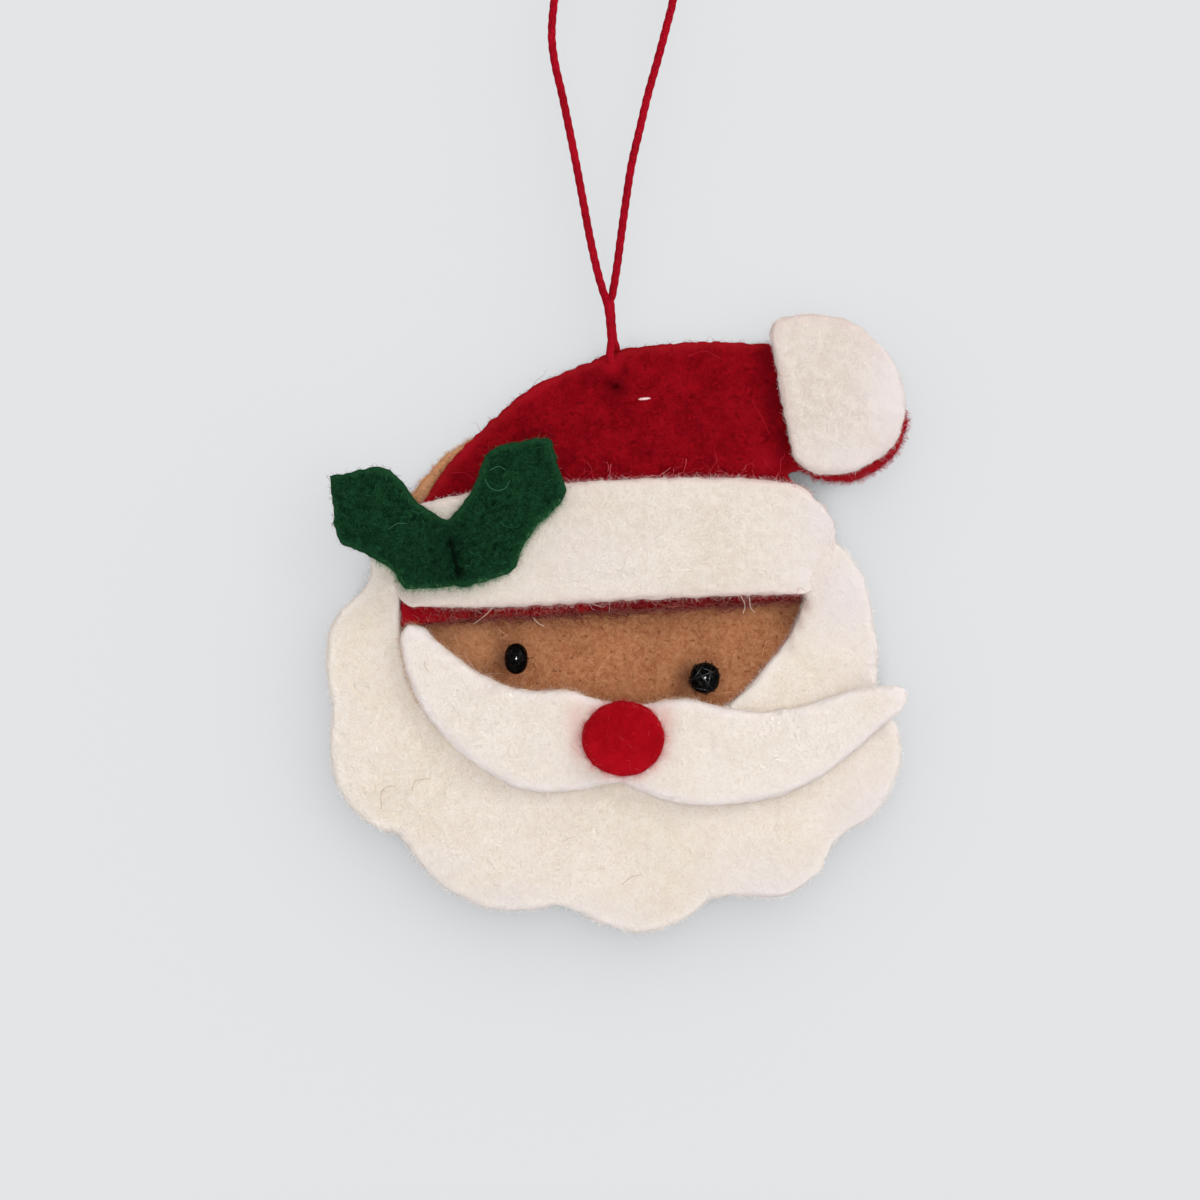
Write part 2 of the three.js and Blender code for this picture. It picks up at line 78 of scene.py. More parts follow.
# A node socket that can be used in sums
class Wire:
    def __init__(self, tree, socket=None):
        self.tree = tree
        self.socket = socket

    def node(self, kind, settings=None, values=None, output=0):
        made = self.tree.nodes.new(kind)
        for key, value in (settings or {}).items():
            setattr(made, key, value)
        for key, value in (values or {}).items():
            if isinstance(value, Wire):
                self.tree.links.new(value.socket, made.inputs[key])
            else:
                made.inputs[key].default_value = value
        return Wire(self.tree, made.outputs[output]) if made.outputs else None

    def maths(self, operation, *values):
        return self.node("ShaderNodeMath", {"operation": operation}, dict(enumerate(values)))

    def __add__(self, other):
        return self.maths("ADD", self, other)

    def __sub__(self, other):
        return self.maths("SUBTRACT", self, other)

    def __rsub__(self, other):
        return self.maths("SUBTRACT", other, self)

    def __mul__(self, other):
        return self.maths("MULTIPLY", self, other)

    def __rtruediv__(self, other):
        return self.maths("DIVIDE", other, self)

    __radd__ = __add__
    __rmul__ = __mul__

    def larger(self, other):
        return self.maths("MAXIMUM", self, other)

    def step(self, low, high):  # 0 below low, 1 above high, soft between
        ranges = {"Value": self, "From Min": low, "From Max": high}
        return self.node("ShaderNodeMapRange", {"interpolation_type": "SMOOTHSTEP"}, ranges)

    def pick(self, first, second):  # a colour between two, with this wire as the share
        return self.node("ShaderNodeMix", {"data_type": "RGBA"}, {0: self, 6: first, 7: second}, 2)

    def mixed(self, first, second):  # a shader between two, with this wire as the share
        return self.node("ShaderNodeMixShader", None, {0: self, 1: first, 2: second})

    def bumped(self, strength, depth):  # a normal, with this wire as the height
        return self.node("ShaderNodeBump", None, {"Strength": strength, "Distance": depth, "Height": self})

    def place(self):
        return self.node("ShaderNodeTexCoord", output="Object")

    def noise(self, place, size, detail, output="Fac"):
        values = {"Vector": place, "Scale": 1 / size, "Detail": detail}
        return self.node("ShaderNodeTexNoise", None, values, output)

    def drift(self, place, size, detail):  # a random way to go, about zero
        return self.vector("SUBTRACT", self.noise(place, size, detail, "Color"), (0.5, 0.5, 0.5))

    def vector(self, operation, *values):
        return self.node("ShaderNodeVectorMath", {"operation": operation}, dict(enumerate(values)))

    def scaled(self, amount):
        return self.node("ShaderNodeVectorMath", {"operation": "SCALE"}, {0: self, "Scale": amount})

    def part(self, axis):
        return self.node("ShaderNodeSeparateXYZ", None, {0: self}, axis)

    def stored(self, label, value, domain="POINT"):  # this shape with a named value on it
        values = {"Geometry": self, "Name": label, "Value": value}
        return self.node("GeometryNodeStoreNamedAttribute", {"domain": domain}, values)

    def painted(self, material, chosen=True):
        values = {"Geometry": self, "Selection": chosen, "Material": material}
        return self.node("GeometryNodeSetMaterial", None, values)


# Materials
def newMaterial(name):
    material = bpy.data.materials.new(name)
    material.use_nodes = True
    material.node_tree.nodes.clear()
    return material, Wire(material.node_tree)


def closeMaterial(wire, values):
    shader = wire.node("ShaderNodeBsdfPrincipled", None, values)
    wire.node("ShaderNodeOutputMaterial", None, {"Surface": shader})


feltBase = {
    "cloud": 7 * mm,  # broad mottling
    "cloudEdge": (0.36, 0.64),  # how softly it comes in, low to high
    "cloudShare": 0.5,
    "tuft": 1.6 * mm,  # clumps of wool
    "tuftEdge": (0.34, 0.66),
    "tuftShare": 0.3,
    "grain": 0.35 * mm,  # fine nap
    "fleck": 0.2 * mm,  # width of single fibres in the nap
    "fleckStretch": 5.0,
    "turns": (0.35, 1.4, 2.45),  # the ways that they lie in the sheet
    "curl": 2.2 * mm,  # how far apart their bends are
    "curlShift": 2.4 * mm,
    "paleEdge": (0.58, 0.72),
    "paleShare": 0.5,
    "darkEdge": (0.28, 0.4),
    "darkShare": 0.35,
    "pit": 0.9 * mm,  # small hollows, painted dark for the shade in them
    "pitEdge": (0.68, 0.78),
    "pitShare": 0.0,
    # a paler band along the cut edges: partly painted light where their rounded sides catch it, partly denser
    # wool
    "rimEdge": (0.02, 0.4),
    "rimShare": 0.6,
    "heights": (0.6, 0.5, 0.35, 0.3),  # of tufts, grain, pale and dark fibres
    "bump": 0.75,
    "bumpDepth": 0.22 * mm,
    "roughness": 0.96,
    "sheen": 0.02,
}


def feltMaterial(name, look):
    look = {**feltBase, **look}
    colour, shade, lift, deep, rim = tints(look, "colour", "shade", "lift", "deep", "rim")
    material, wire = newMaterial(name)
    place = wire.place()

    def mark(label):  # a value on the mesh
        return wire.node("ShaderNodeAttribute", {"attribute_name": label}, None, "Fac")

    cloud = wire.noise(place, look["cloud"], 3.0).step(*look["cloudEdge"])
    tuft = wire.noise(place, look["tuft"], 2.0).step(*look["tuftEdge"])
    grain = wire.noise(place, look["grain"], 1.0)
    pit = wire.noise(place, look["pit"], 0.0).step(*look["pitEdge"]) * look["pitShare"]
    curled = wire.vector("ADD", place, wire.drift(place, look["curl"], 1.0).scaled(look["curlShift"]))
    pale = dark = None
    for turn in look["turns"]:
        values = {"Vector": curled, "Rotation": (0, turn, 0), "Scale": (1, 1, look["fleckStretch"])}
        laid = wire.node("ShaderNodeMapping", {"vector_type": "TEXTURE"}, values)
        field = wire.noise(laid, look["fleck"], 1.0)
        light, dim = field.step(*look["paleEdge"]), 1 - field.step(*look["darkEdge"])
        pale = light if pale is None else pale.larger(light)
        dark = dim if dark is None else dark.larger(dim)
    colour = (cloud * look["cloudShare"]).pick(colour, shade)
    colour = (tuft * look["tuftShare"]).pick(colour, lift)
    colour = (dark * look["darkShare"]).pick(colour, deep)
    colour = (pale * look["paleShare"]).pick(colour, lift)
    # painted shade in the small hollows
    colour = pit.pick(colour, deep)
    # paler cut edges: partly painted light where their rounded sides catch it, partly denser wool
    colour = (mark("glow").step(*look["rimEdge"]) * look["rimShare"]).pick(colour, rim)
    # stains and tinges marked on the mesh, with painted shade and painted light among them
    for label in ("tingeAndLight", "stainAndShade"):
        colour = mark(label).pick(colour, tint(*look[label]))
    high, fine, light, dim = look["heights"]
    height = tuft * high + grain * fine + pale * light - dark * dim - pit
    closeMaterial(
        wire,
        {
            "Base Color": colour,
            "Roughness": look["roughness"] - pale * 0.1,
            "Normal": height.bumped(look["bump"], look["bumpDepth"]),
            "Specular IOR Level": 0.0,
            "Sheen Weight": look["sheen"],
            "Sheen Roughness": 0.5,
            "Sheen Tint": lift,
        },
    )
    return material


softEdge = (0.35, 0.65)  # how softly mottling comes in on thread and glue


def strandMaterial(name, colour):
    material, wire = newMaterial(name)
    closeMaterial(wire, {"Base Color": colour, "Roughness": 0.85, "Specular IOR Level": 0.0})
    return material


def threadMaterial(name, look):
    colour, shade, lift = tints(look, "colour", "shade", "lift")
    material, wire = newMaterial(name)
    place = wire.place()
    fibre = wire.noise(place, look["fibre"], 3.0).step(*softEdge)
    cloud = wire.noise(place, look["cloud"], 2.0).step(*softEdge)
    colour = (cloud * 0.5).pick(colour, shade)
    closeMaterial(
        wire,
        {
            "Base Color": (fibre * look["fibreShare"]).pick(colour, lift),
            "Roughness": look["roughness"] + fibre * 0.1,
            "Normal": fibre.bumped(0.5, look["bumpDepth"]),
            "Specular IOR Level": look["gloss"],
            "Sheen Weight": look["sheen"],
            "Sheen Roughness": 0.4,
        },
    )
    return material


beadLook = {  # black glass with a faint paler, rougher haze, and thin pale curved lines that are a painted reflection of fibres
    "black": (0, 0, 0), "haze": (4, 4, 4), "line": (48, 42, 39),
    "hazeSize": 1.3 * mm, "hazeEdge": (0.4, 0.7),
    "reflectionSize": 0.9 * mm, "reflectionEdge": (0.47, 0.5, 0.53), "reflectionShare": 0.8,
    "roughness": 0.05, "gloss": 0.035,
}


def beadMaterial(look):
    black, pale, line = tints(look, "black", "haze", "line")
    material, wire = newMaterial("blackGlassBead")
    place = wire.place()
    haze = wire.noise(place, look["hazeSize"], 3.0).step(*look["hazeEdge"])
    # painted reflection: thin pale arcs standing for fibres mirrored in the glass
    mirrored = wire.noise(place, look["reflectionSize"], 0.0)
    low, middle, high = look["reflectionEdge"]
    thin = mirrored.step(low, middle) - mirrored.step(middle, high)
    closeMaterial(
        wire,
        {
            "Base Color": (thin * look["reflectionShare"]).pick(haze.pick(black, pale), line),
            "Roughness": look["roughness"] + haze * look["roughness"],
            "Specular IOR Level": look["gloss"],
        },
    )
    return material


glueLook = {"deep": (206, 196, 160), "pale": (226, 219, 196), "haze": 2.5 * mm, "roughness": 0.3}


def glueMaterial(look):
    deep, pale = tints(look, "deep", "pale")
    material, wire = newMaterial("clearGlue")
    haze = wire.noise(wire.place(), look["haze"], 3.0).step(*softEdge)
    closeMaterial(
        wire,
        {
            "Base Color": haze.pick(deep, pale),
            "Roughness": look["roughness"] + haze * 0.25,
            "Subsurface Weight": 0.2,
        },
    )
    return material


whiteLook = {
    "colour": (238, 225, 211), "shade": (231, 217, 196), "lift": (246, 237, 228),
    "deep": (214, 196, 176), "rim": (252, 243, 236), "stainAndShade": (172, 136, 116),
    "tingeAndLight": (235, 225, 223), "cloud": 12 * mm, "cloudShare": 0.65, "paleShare": 0.45,
    "darkShare": 0.44, "tuftShare": 0.35, "rimShare": 0.55,
}
feltLooks = {
    "white": whiteLook,
    "bright": {
        **whiteLook, "colour": (240, 229, 218), "shade": (233, 220, 205), "rim": (246, 235, 236),
        "stainAndShade": (230, 142, 138), "tingeAndLight": (208, 178, 146),
    },
    "brim": {
        **whiteLook, "colour": (231, 219, 206), "shade": (225, 211, 195), "rim": (235, 214, 207),
        "rimShare": 0.6,
    },
    "dull": {
        **whiteLook, "colour": (221, 207, 196), "shade": (214, 199, 185), "rim": (228, 206, 200),
    },
    "red": {
        "colour": (131, 9, 19), "shade": (108, 5, 13), "lift": (158, 17, 28), "deep": (76, 3, 9),
        "rim": (172, 30, 38), "stainAndShade": (70, 3, 9), "tingeAndLight": (170, 18, 33), "cloud": 5 * mm,
        "cloudShare": 0.75, "tuftShare": 0.4, "paleShare": 0.6, "darkShare": 0.45, "pitShare": 0.4,
        "rimShare": 0.6,
    },
    "nose": {
        "colour": (157, 9, 20), "shade": (140, 8, 17), "lift": (186, 20, 32), "deep": (116, 5, 13),
        "rim": (178, 20, 32), "stainAndShade": (120, 5, 12), "tingeAndLight": (184, 18, 30), "cloudShare": 0.7,
        "rimShare": 0.3,
    },
    "green": {
        "colour": (15, 44, 26), "shade": (10, 33, 20), "lift": (32, 76, 47), "deep": (4, 16, 10),
        "rim": (44, 92, 58), "stainAndShade": (4, 14, 9), "tingeAndLight": (36, 84, 52), "cloud": 3.5 * mm,
        "cloudShare": 0.7, "tuft": 1.0 * mm, "tuftShare": 0.35, "paleShare": 0.55, "darkShare": 0.55,
        "pit": 0.8 * mm, "pitShare": 0.5, "rimShare": 0.35,
    },
    "tan": {
        "colour": (173, 111, 75), "shade": (148, 92, 62), "lift": (206, 150, 108),
        "deep": (104, 62, 41), "rim": (212, 146, 96), "stainAndShade": (66, 42, 33), "tingeAndLight": (240, 186, 138),
        "cloud": 5 * mm, "cloudShare": 0.6, "tuft": 1.1 * mm, "tuftShare": 0.3, "fleck": 0.3 * mm,
        "fleckStretch": 7.0, "paleShare": 0.42, "darkShare": 0.32, "pit": 0.7 * mm, "pitShare": 0.55,
    },
}
feltPaint = {name: feltMaterial(name + "Felt", look) for name, look in feltLooks.items()}
fibreTones = {  # most hairs, the lighter ones and a few others
    "white": [(250, 241, 233), (255, 251, 248), (238, 225, 212)],
    "brim": [(250, 241, 233), (255, 251, 248), (232, 184, 180)],
    "red": [(138, 12, 24), (172, 34, 46), (84, 5, 12)],
    "strip": [(146, 70, 62), (188, 112, 102), (78, 24, 22)],
    "rose": [(182, 50, 60), (214, 104, 108), (112, 14, 24)],
    "pinkEdge": [(188, 82, 96), (214, 130, 138), (146, 34, 50)],
    "nose": [(190, 30, 42), (222, 96, 102), (160, 14, 24)],
    "green": [(22, 62, 37), (62, 112, 80), (6, 22, 13)],
    "leafEdge": [(84, 142, 84), (142, 188, 132), (40, 96, 56)],
    "brimEdge": [(236, 176, 172), (246, 218, 212), (208, 84, 88)],
    "tanEdge": [(204, 150, 106), (232, 192, 146), (150, 98, 64)],
    "tan": [(184, 122, 82), (222, 172, 126), (112, 66, 44)],
    "straw": [(226, 172, 124), (244, 204, 162), (196, 92, 72)],
    "fawn": [(206, 178, 146), (204, 176, 146), (180, 150, 120)],
    "cream": [(255, 240, 222), (255, 236, 214), (240, 220, 196)],
}
strandPaint = {
    name: [strandMaterial(name + "Fibre" + str(index), tint(*tone)) for index, tone in enumerate(tones)]
    for name, tones in fibreTones.items()
}
blackThread = {
    "colour": (8, 9, 8), "shade": (5, 5, 5), "lift": (20, 23, 20),
    "fibre": 0.08 * mm, "cloud": 0.6 * mm, "fibreShare": 0.3, "bumpDepth": 0.03 * mm,
    "roughness": 0.5, "gloss": 0.0, "sheen": 0.0,
}
threadLooks = {
    "redCotton": {
        "colour": (154, 11, 28), "shade": (118, 8, 20), "lift": (186, 26, 44),
        "fibre": 0.16 * mm, "cloud": 3 * mm, "fibreShare": 0.4, "bumpDepth": 0.06 * mm,
        "roughness": 0.75, "gloss": 0.0, "sheen": 0.02,
    },
    "blackThread": blackThread,
    # its paler fibres are a painted highlight, where the passes catch the light
    "lashThread": {**blackThread, "lift": (60, 56, 55), "gloss": 0.012, "roughness": 0.3},
    "seamThread": {**blackThread, "colour": (8, 20, 13), "shade": (5, 12, 8), "lift": (22, 42, 29)},
    # the tack stitch's clear filament, drawn as pale thread: its near-white is a painted highlight for the
    # glint on it
    "paleGlintThread": {
        "colour": (250, 206, 204), "shade": (226, 136, 136), "lift": (255, 246, 244),
        "fibre": 0.1 * mm, "cloud": 0.8 * mm, "fibreShare": 0.5, "bumpDepth": 0.03 * mm,
        "roughness": 0.4, "gloss": 0.03, "sheen": 0.1,
    },
}
threadPaint = {name: threadMaterial(name, look) for name, look in threadLooks.items()}
beadPaint = beadMaterial(beadLook)
gluePaint = glueMaterial(glueLook)
print("materials made:", len(bpy.data.materials))


# Geometry node trees
def startTree(name, inputs):
    tree = bpy.data.node_groups.new(name, "GeometryNodeTree")
    tree.interface.new_socket("Geometry", in_out="INPUT", socket_type="NodeSocketGeometry")
    tree.interface.new_socket("Geometry", in_out="OUTPUT", socket_type="NodeSocketGeometry")
    for kind, labels in inputs.items():
        for label in labels:
            tree.interface.new_socket(label, in_out="INPUT", socket_type="NodeSocket" + kind)
    entry = tree.nodes.new("NodeGroupInput")
    return tree, Wire(tree), {socket.name: Wire(tree, socket) for socket in entry.outputs if socket.name}


def endTree(tree, shape):
    leave = tree.nodes.new("NodeGroupOutput")
    tree.links.new(shape.socket, leave.inputs["Geometry"])
    return tree


def setInputs(modifier, values):
    for item in modifier.node_group.interface.items_tree:
        if item.in_out == "INPUT" and item.name in values:
            modifier[item.identifier] = values[item.name]


unevenEdge = (0.05, 0.5)  # where a sheet's rim starts to be uneven, and where it is fully so


# Felt surface: soft lumps, nap and uneven cut edges; rim and glow mark the edge and fade inwards, and glow
# places the painted light along the edges
def makeReliefTree():
    inputs = {
        "Float": (
            "Lump Size", "Lump Height", "Nap Size", "Nap Height", "Edge Size", "Edge Wobble",
            "Swell", "Droop",
        ),
        "Int": ("Rim Reach", "Glow Reach"),
        "Vector": ("Seed Shift",),
        "Material": ("Material",),
    }
    tree, wire, port = startTree("feltRelief", inputs)
    place = wire.vector("ADD", wire.node("GeometryNodeInputPosition"), port["Seed Shift"])
    normal = wire.node("GeometryNodeInputNormal")
    lump = wire.noise(place, port["Lump Size"], 1.0) - 0.5
    nap = wire.noise(place, port["Nap Size"], 2.0) - 0.5
    steep = 1 - wire.maths("ABSOLUTE", normal.part("Y"))
    rim, glow = [
        wire.node("GeometryNodeBlurAttribute", None, {"Value": steep, "Iterations": port[reach]})
        for reach in ("Rim Reach", "Glow Reach")
    ]
    uneven = wire.vector("MULTIPLY", wire.drift(place, port["Edge Size"], 2.0), (1, 0, 1))
    uneven = uneven.scaled(port["Edge Wobble"] * rim.step(*unevenEdge))
    rise = lump * port["Lump Height"] + nap * port["Nap Height"] + rim * port["Swell"]
    sag = wire.node("ShaderNodeCombineXYZ", None, {"Y": rim * port["Droop"]})
    offset = wire.vector("ADD", wire.vector("ADD", normal.scaled(rise), uneven), sag)
    shape = port["Geometry"].stored("rim", rim).stored("glow", glow)
    shape = wire.node("GeometryNodeSetPosition", None, {"Geometry": shape, "Offset": offset})
    shape = wire.node("GeometryNodeSetShadeSmooth", None, {"Geometry": shape, "Shade Smooth": True})
    shape = wire.node("GeometryNodeRealizeInstances", None, {"Geometry": shape})
    return endTree(tree, shape.painted(port["Material"]))


hairCurve = {"Start": (0, 0, 0), "Middle": (0.14, 0.05, 0.5), "End": (0.5, -0.06, 0.88)}
fibreEdges = {"back": (0.3, 0.6), "rim": (0.15, 0.6)}  # where a face counts as the back and as the rim
fibreShares = {"thin": 0.7, "pale": 0.6, "deep": 0.18}  # thinning of the tips, and bounds of the tones


# Loose fibres over a surface, thicker along its rim, each a thin bent hair of three sides
def makeFibreTree():
    inputs = {
        "Float": (
            "Density", "Rim Density", "Back Share", "Length", "Length Spread", "Thickness", "Lean",
            "Lean Spread", "Wave", "Wave Size",
        ),
        "Int": ("Joints", "Seed"),
        "Vector": ("Window Low", "Window High"),
        "Material": ("Mid", "Pale", "Deep"),
    }
    tree, wire, port = startTree("looseFibres", inputs)
    place = wire.node("GeometryNodeInputPosition")
    back = wire.node("GeometryNodeInputNormal").part("Y").step(*fibreEdges["back"])

    def mark(label):
        return wire.node("GeometryNodeInputNamedAttribute", None, {"Name": label})

    def chance(low, high, seed):
        values = {2: low, 3: high, "Seed": port["Seed"] + seed}
        return wire.node("FunctionNodeRandomValue", {"data_type": "FLOAT"}, values, 1)

    density = port["Density"] + port["Rim Density"] * mark("rim").step(*fibreEdges["rim"])
    density = density * (1 - back * (1 - port["Back Share"]))
    for axis in "XYZ":  # none outside the window
        density = density * wire.maths("GREATER_THAN", place.part(axis), port["Window Low"].part(axis))
        density = density * wire.maths("LESS_THAN", place.part(axis), port["Window High"].part(axis))
    sown = {"Mesh": port["Geometry"], "Density": density, "Seed": port["Seed"]}
    points = wire.node("GeometryNodeDistributePointsOnFaces", None, sown, "Points")
    upright = Wire(tree, points.socket.node.outputs["Rotation"])
    share = wire.node("GeometryNodeSplineParameter", None, None, "Factor")
    curve = {"Resolution": port["Joints"], **hairCurve}
    hair = wire.node("GeometryNodeCurveQuadraticBezier", None, curve).stored("tip", share)
    ring = wire.node("GeometryNodeCurvePrimitiveCircle", {"mode": "RADIUS"}, {"Resolution": 3, "Radius": 0.5})
    slim = (1 / port["Length"]) * port["Thickness"] * (1 - share * fibreShares["thin"])
    swept = {"Curve": hair, "Profile Curve": ring, "Scale": slim, "Fill Caps": True}
    hair = wire.node("GeometryNodeCurveToMesh", None, swept)
    tilt = chance(port["Lean"] - port["Lean Spread"], port["Lean"] + port["Lean Spread"], 11)
    euler = wire.node("ShaderNodeCombineXYZ", None, {"X": tilt, "Z": chance(0.0, 2 * math.pi, 12)})
    leaning = wire.node("FunctionNodeEulerToRotation", None, {"Euler": euler})
    spin = {"Rotation": upright, "Rotate By": leaning}
    turned = wire.node("FunctionNodeRotateRotation", {"rotation_space": "LOCAL"}, spin)
    size = port["Length"] * chance(1 - port["Length Spread"], 1 + port["Length Spread"], 13)
    planted = {"Points": points, "Instance": hair, "Rotation": turned, "Scale": size}
    hairs = wire.node("GeometryNodeInstanceOnPoints", None, planted)
    hairs = hairs.stored("tone", chance(0.0, 1.0, 14), "INSTANCE")
    shape = wire.node("GeometryNodeRealizeInstances", None, {"Geometry": hairs})
    sway = wire.drift(place, port["Wave Size"], 0.0).scaled(port["Wave"] * mark("tip"))
    shape = wire.node("GeometryNodeSetPosition", None, {"Geometry": shape, "Offset": sway})
    tone = mark("tone")
    pale = wire.maths("GREATER_THAN", tone, fibreShares["pale"])
    deep = wire.maths("LESS_THAN", tone, fibreShares["deep"])
    shape = shape.painted(port["Mid"]).painted(port["Pale"], pale)
    return endTree(tree, shape.painted(port["Deep"], deep))


reliefTree = makeReliefTree()
fibreTree = makeFibreTree()
print("geometry trees made")


# Meshes
def newPiece(name, mesh):
    piece = bpy.data.objects.new(name, mesh)
    scene.collection.objects.link(piece)
    return piece


def settle(piece):  # modifiers become the mesh itself
    shape = piece.evaluated_get(bpy.context.evaluated_depsgraph_get())
    mesh = bpy.data.meshes.new_from_object(shape)
    piece.modifiers.clear()
    piece.data = mesh
    return piece


def meshOf(name, vertices, faces, material):
    mesh = bpy.data.meshes.new(name)
    mesh.from_pydata([tuple(v) for v in vertices], [], faces)
    mesh.materials.append(material)
    mesh.polygons.foreach_set("use_smooth", [True] * len(mesh.polygons))
    mesh.update()
    return mesh


def ringFaces(rings, sides, closed=False):  # squares between rings of points
    faces = []
    for i in range(rings if closed else rings - 1):
        for j in range(sides):
            k, n = (j + 1) % sides, (i + 1) % rings
            faces.append((i * sides + j, i * sides + k, n * sides + k, n * sides + j))
    return faces


def cadCopy(name, node):  # the node's triangles, joined at their corners
    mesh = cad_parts[node].data.copy()
    mesh.materials.clear()
    work = bmesh.new()
    work.from_mesh(mesh)
    bmesh.ops.remove_doubles(work, verts=work.verts, dist=1e-6)
    work.to_mesh(mesh)
    work.free()
    return newPiece(name, mesh)


def dress(piece, body, slot, *nodes):  # what a piece rides on and the CAD nodes it stands for; the slot is not used
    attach(piece, body)
    if nodes:
        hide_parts(*nodes)


feltForm = {
    "voxel": 0.42 * mm,
    "softness": 7,  # passes that round the cut edges
    "softShare": 0.5,  # how far each goes
    "Lump Size": 8 * mm, "Lump Height": 0.28 * mm, "Nap Size": 1.5 * mm, "Nap Height": 0.14 * mm,
    "Edge Size": 1.8 * mm, "Edge Wobble": 0.85 * mm, "Swell": 0.16 * mm, "Droop": 0.0, "Rim Reach": 8,
    "Glow Reach": 8, "seed": 1,
    "seedSteps": (0.37, 0.11, 0.23),  # how far each seed moves the noise
    "straySeed": 50, "patchSeed": 80,  # added to the seed for further fibres
    "lifts": [],  # (across, up, reach, height) in mm: the sheet bows forward there
    "dents": [],  # the same, pressed into the front alone
    "nudges": [],  # (across, up, reach, right, higher): the outline moves that way
    "pinches": [],  # (across, up, reach, share): the felt draws in round a spot
    "smudges": [],  # (across, up, wide, tall, share): darker places on the front, stains and painted shade
    "blushes": [],  # the same, for paler places, tinges and painted light
    "fuzz": {},
    "strays": {},
    "patches": [],  # further fuzz inside windows of the pattern, (left, low, right, high)
    "patchDepth": 20,  # mm to the front and back that a window takes in
}
fuzzForm = {
    "Density": 4e5, "Rim Density": 70e5, "Back Share": 0.3, "Length": 0.8 * mm, "Length Spread": 0.55,
    "Thickness": 0.028 * mm, "Lean": 1.05, "Lean Spread": 0.4, "Wave": 0.8 * mm, "Wave Size": 0.7 * mm,
    "Joints": 2, "Window Low": (-1, -1, -1), "Window High": (1, 1, 1),
}
strayForm = {
    **fuzzForm, "Density": 0.06e5, "Rim Density": 0.5e5, "Length": 3.2 * mm, "Length Spread": 0.5,
    "Thickness": 0.045 * mm, "Lean": 1.35, "Lean Spread": 0.18, "Wave": 2.4 * mm, "Wave Size": 2.0 * mm,
    "Joints": 9,
}
longFuzz = {"Density": 20e5, "Length": 1.5 * mm, "Thickness": 0.055 * mm, "Joints": 4}
rimFuzz = {"Density": 0.0, "Length": 0.75 * mm, "Thickness": 0.03 * mm, "Lean": 0.65}
leafHaze = {**rimFuzz, "Rim Density": 200e5, "Length": 0.85 * mm}
curlyHair = {
    "Density": 12e5, "Length": 2.6 * mm, "Thickness": 0.08 * mm, "Lean": 1.4, "Lean Spread": 0.15,
    "Wave": 2.8 * mm, "Wave Size": 1.1 * mm, "Joints": 9,
}


def bendSheet(mesh, form, low, high):  # gentle bends of the sheet, dents in its front, and marks of stain, painted shade and painted light
    places = np.empty(len(mesh.vertices) * 3)
    mesh.vertices.foreach_get("co", places)
    places = places.reshape(-1, 3)
    front = np.clip((high - places[:, 1]) / (high - low), 0, 1)

    def near(across, up, wide, tall):  # 1 at a spot of the pattern, fading round it
        x, _, z = onPattern(across, up)
        away = ((places[:, 0] - x) / (wide * mm)) ** 2 + ((places[:, 2] - z) / (tall * mm)) ** 2
        return np.exp(-away)

    for across, up, reach, height in form["lifts"]:
        places[:, 1] -= height * mm * near(across, up, reach, reach)
    for across, up, reach, height in form["dents"]:
        places[:, 1] += height * mm * near(across, up, reach, reach) * front**2
    for across, up, reach, right, higher in form["nudges"]:
        share = mm * near(across, up, reach, reach)
        places[:, 0] += right * share
        places[:, 2] += higher * share
    for across, up, reach, share in form["pinches"]:
        x, _, z = onPattern(across, up)
        drawn = share * near(across, up, reach, reach)
        places[:, [0, 2]] -= (places[:, [0, 2]] - (x, z)) * drawn[:, None]
    mesh.vertices.foreach_set("co", places.ravel())
    mesh.update()
    # darker and paler marks on the front, painted shade and painted light among them
    for label, spots in (("stainAndShade", form["smudges"]), ("tingeAndLight", form["blushes"])):
        marks = np.zeros(len(places))
        for across, up, wide, tall, share in spots:
            marks = np.maximum(marks, share * near(across, up, wide, tall) * np.minimum(1, 2 * front))
        mesh.attributes.new(label, "FLOAT", "POINT").data.foreach_set("value", marks)


def growFibres(name, source, forms, paint):
    made = []
    for index, values in enumerate(forms):
        carrier = newPiece(name + str(index), source.data.copy())
        modifier = carrier.modifiers.new("fibres", "NODES")
        modifier.node_group = fibreTree
        mid, pale, deep = strandPaint[values.get("paint", paint)]
        setInputs(modifier, {**values, "Mid": mid, "Pale": pale, "Deep": deep})
        made.append(settle(carrier))
    whole = made[0]
    with bpy.context.temp_override(active_object=whole, selected_editable_objects=made):
        bpy.ops.object.join()
    whole.name = name
    for label in ("tip", "tone", "rim", "glow", "stainAndShade", "tingeAndLight"):
        found = whole.data.attributes.get(label)
        if found:
            whole.data.attributes.remove(found)
    return whole


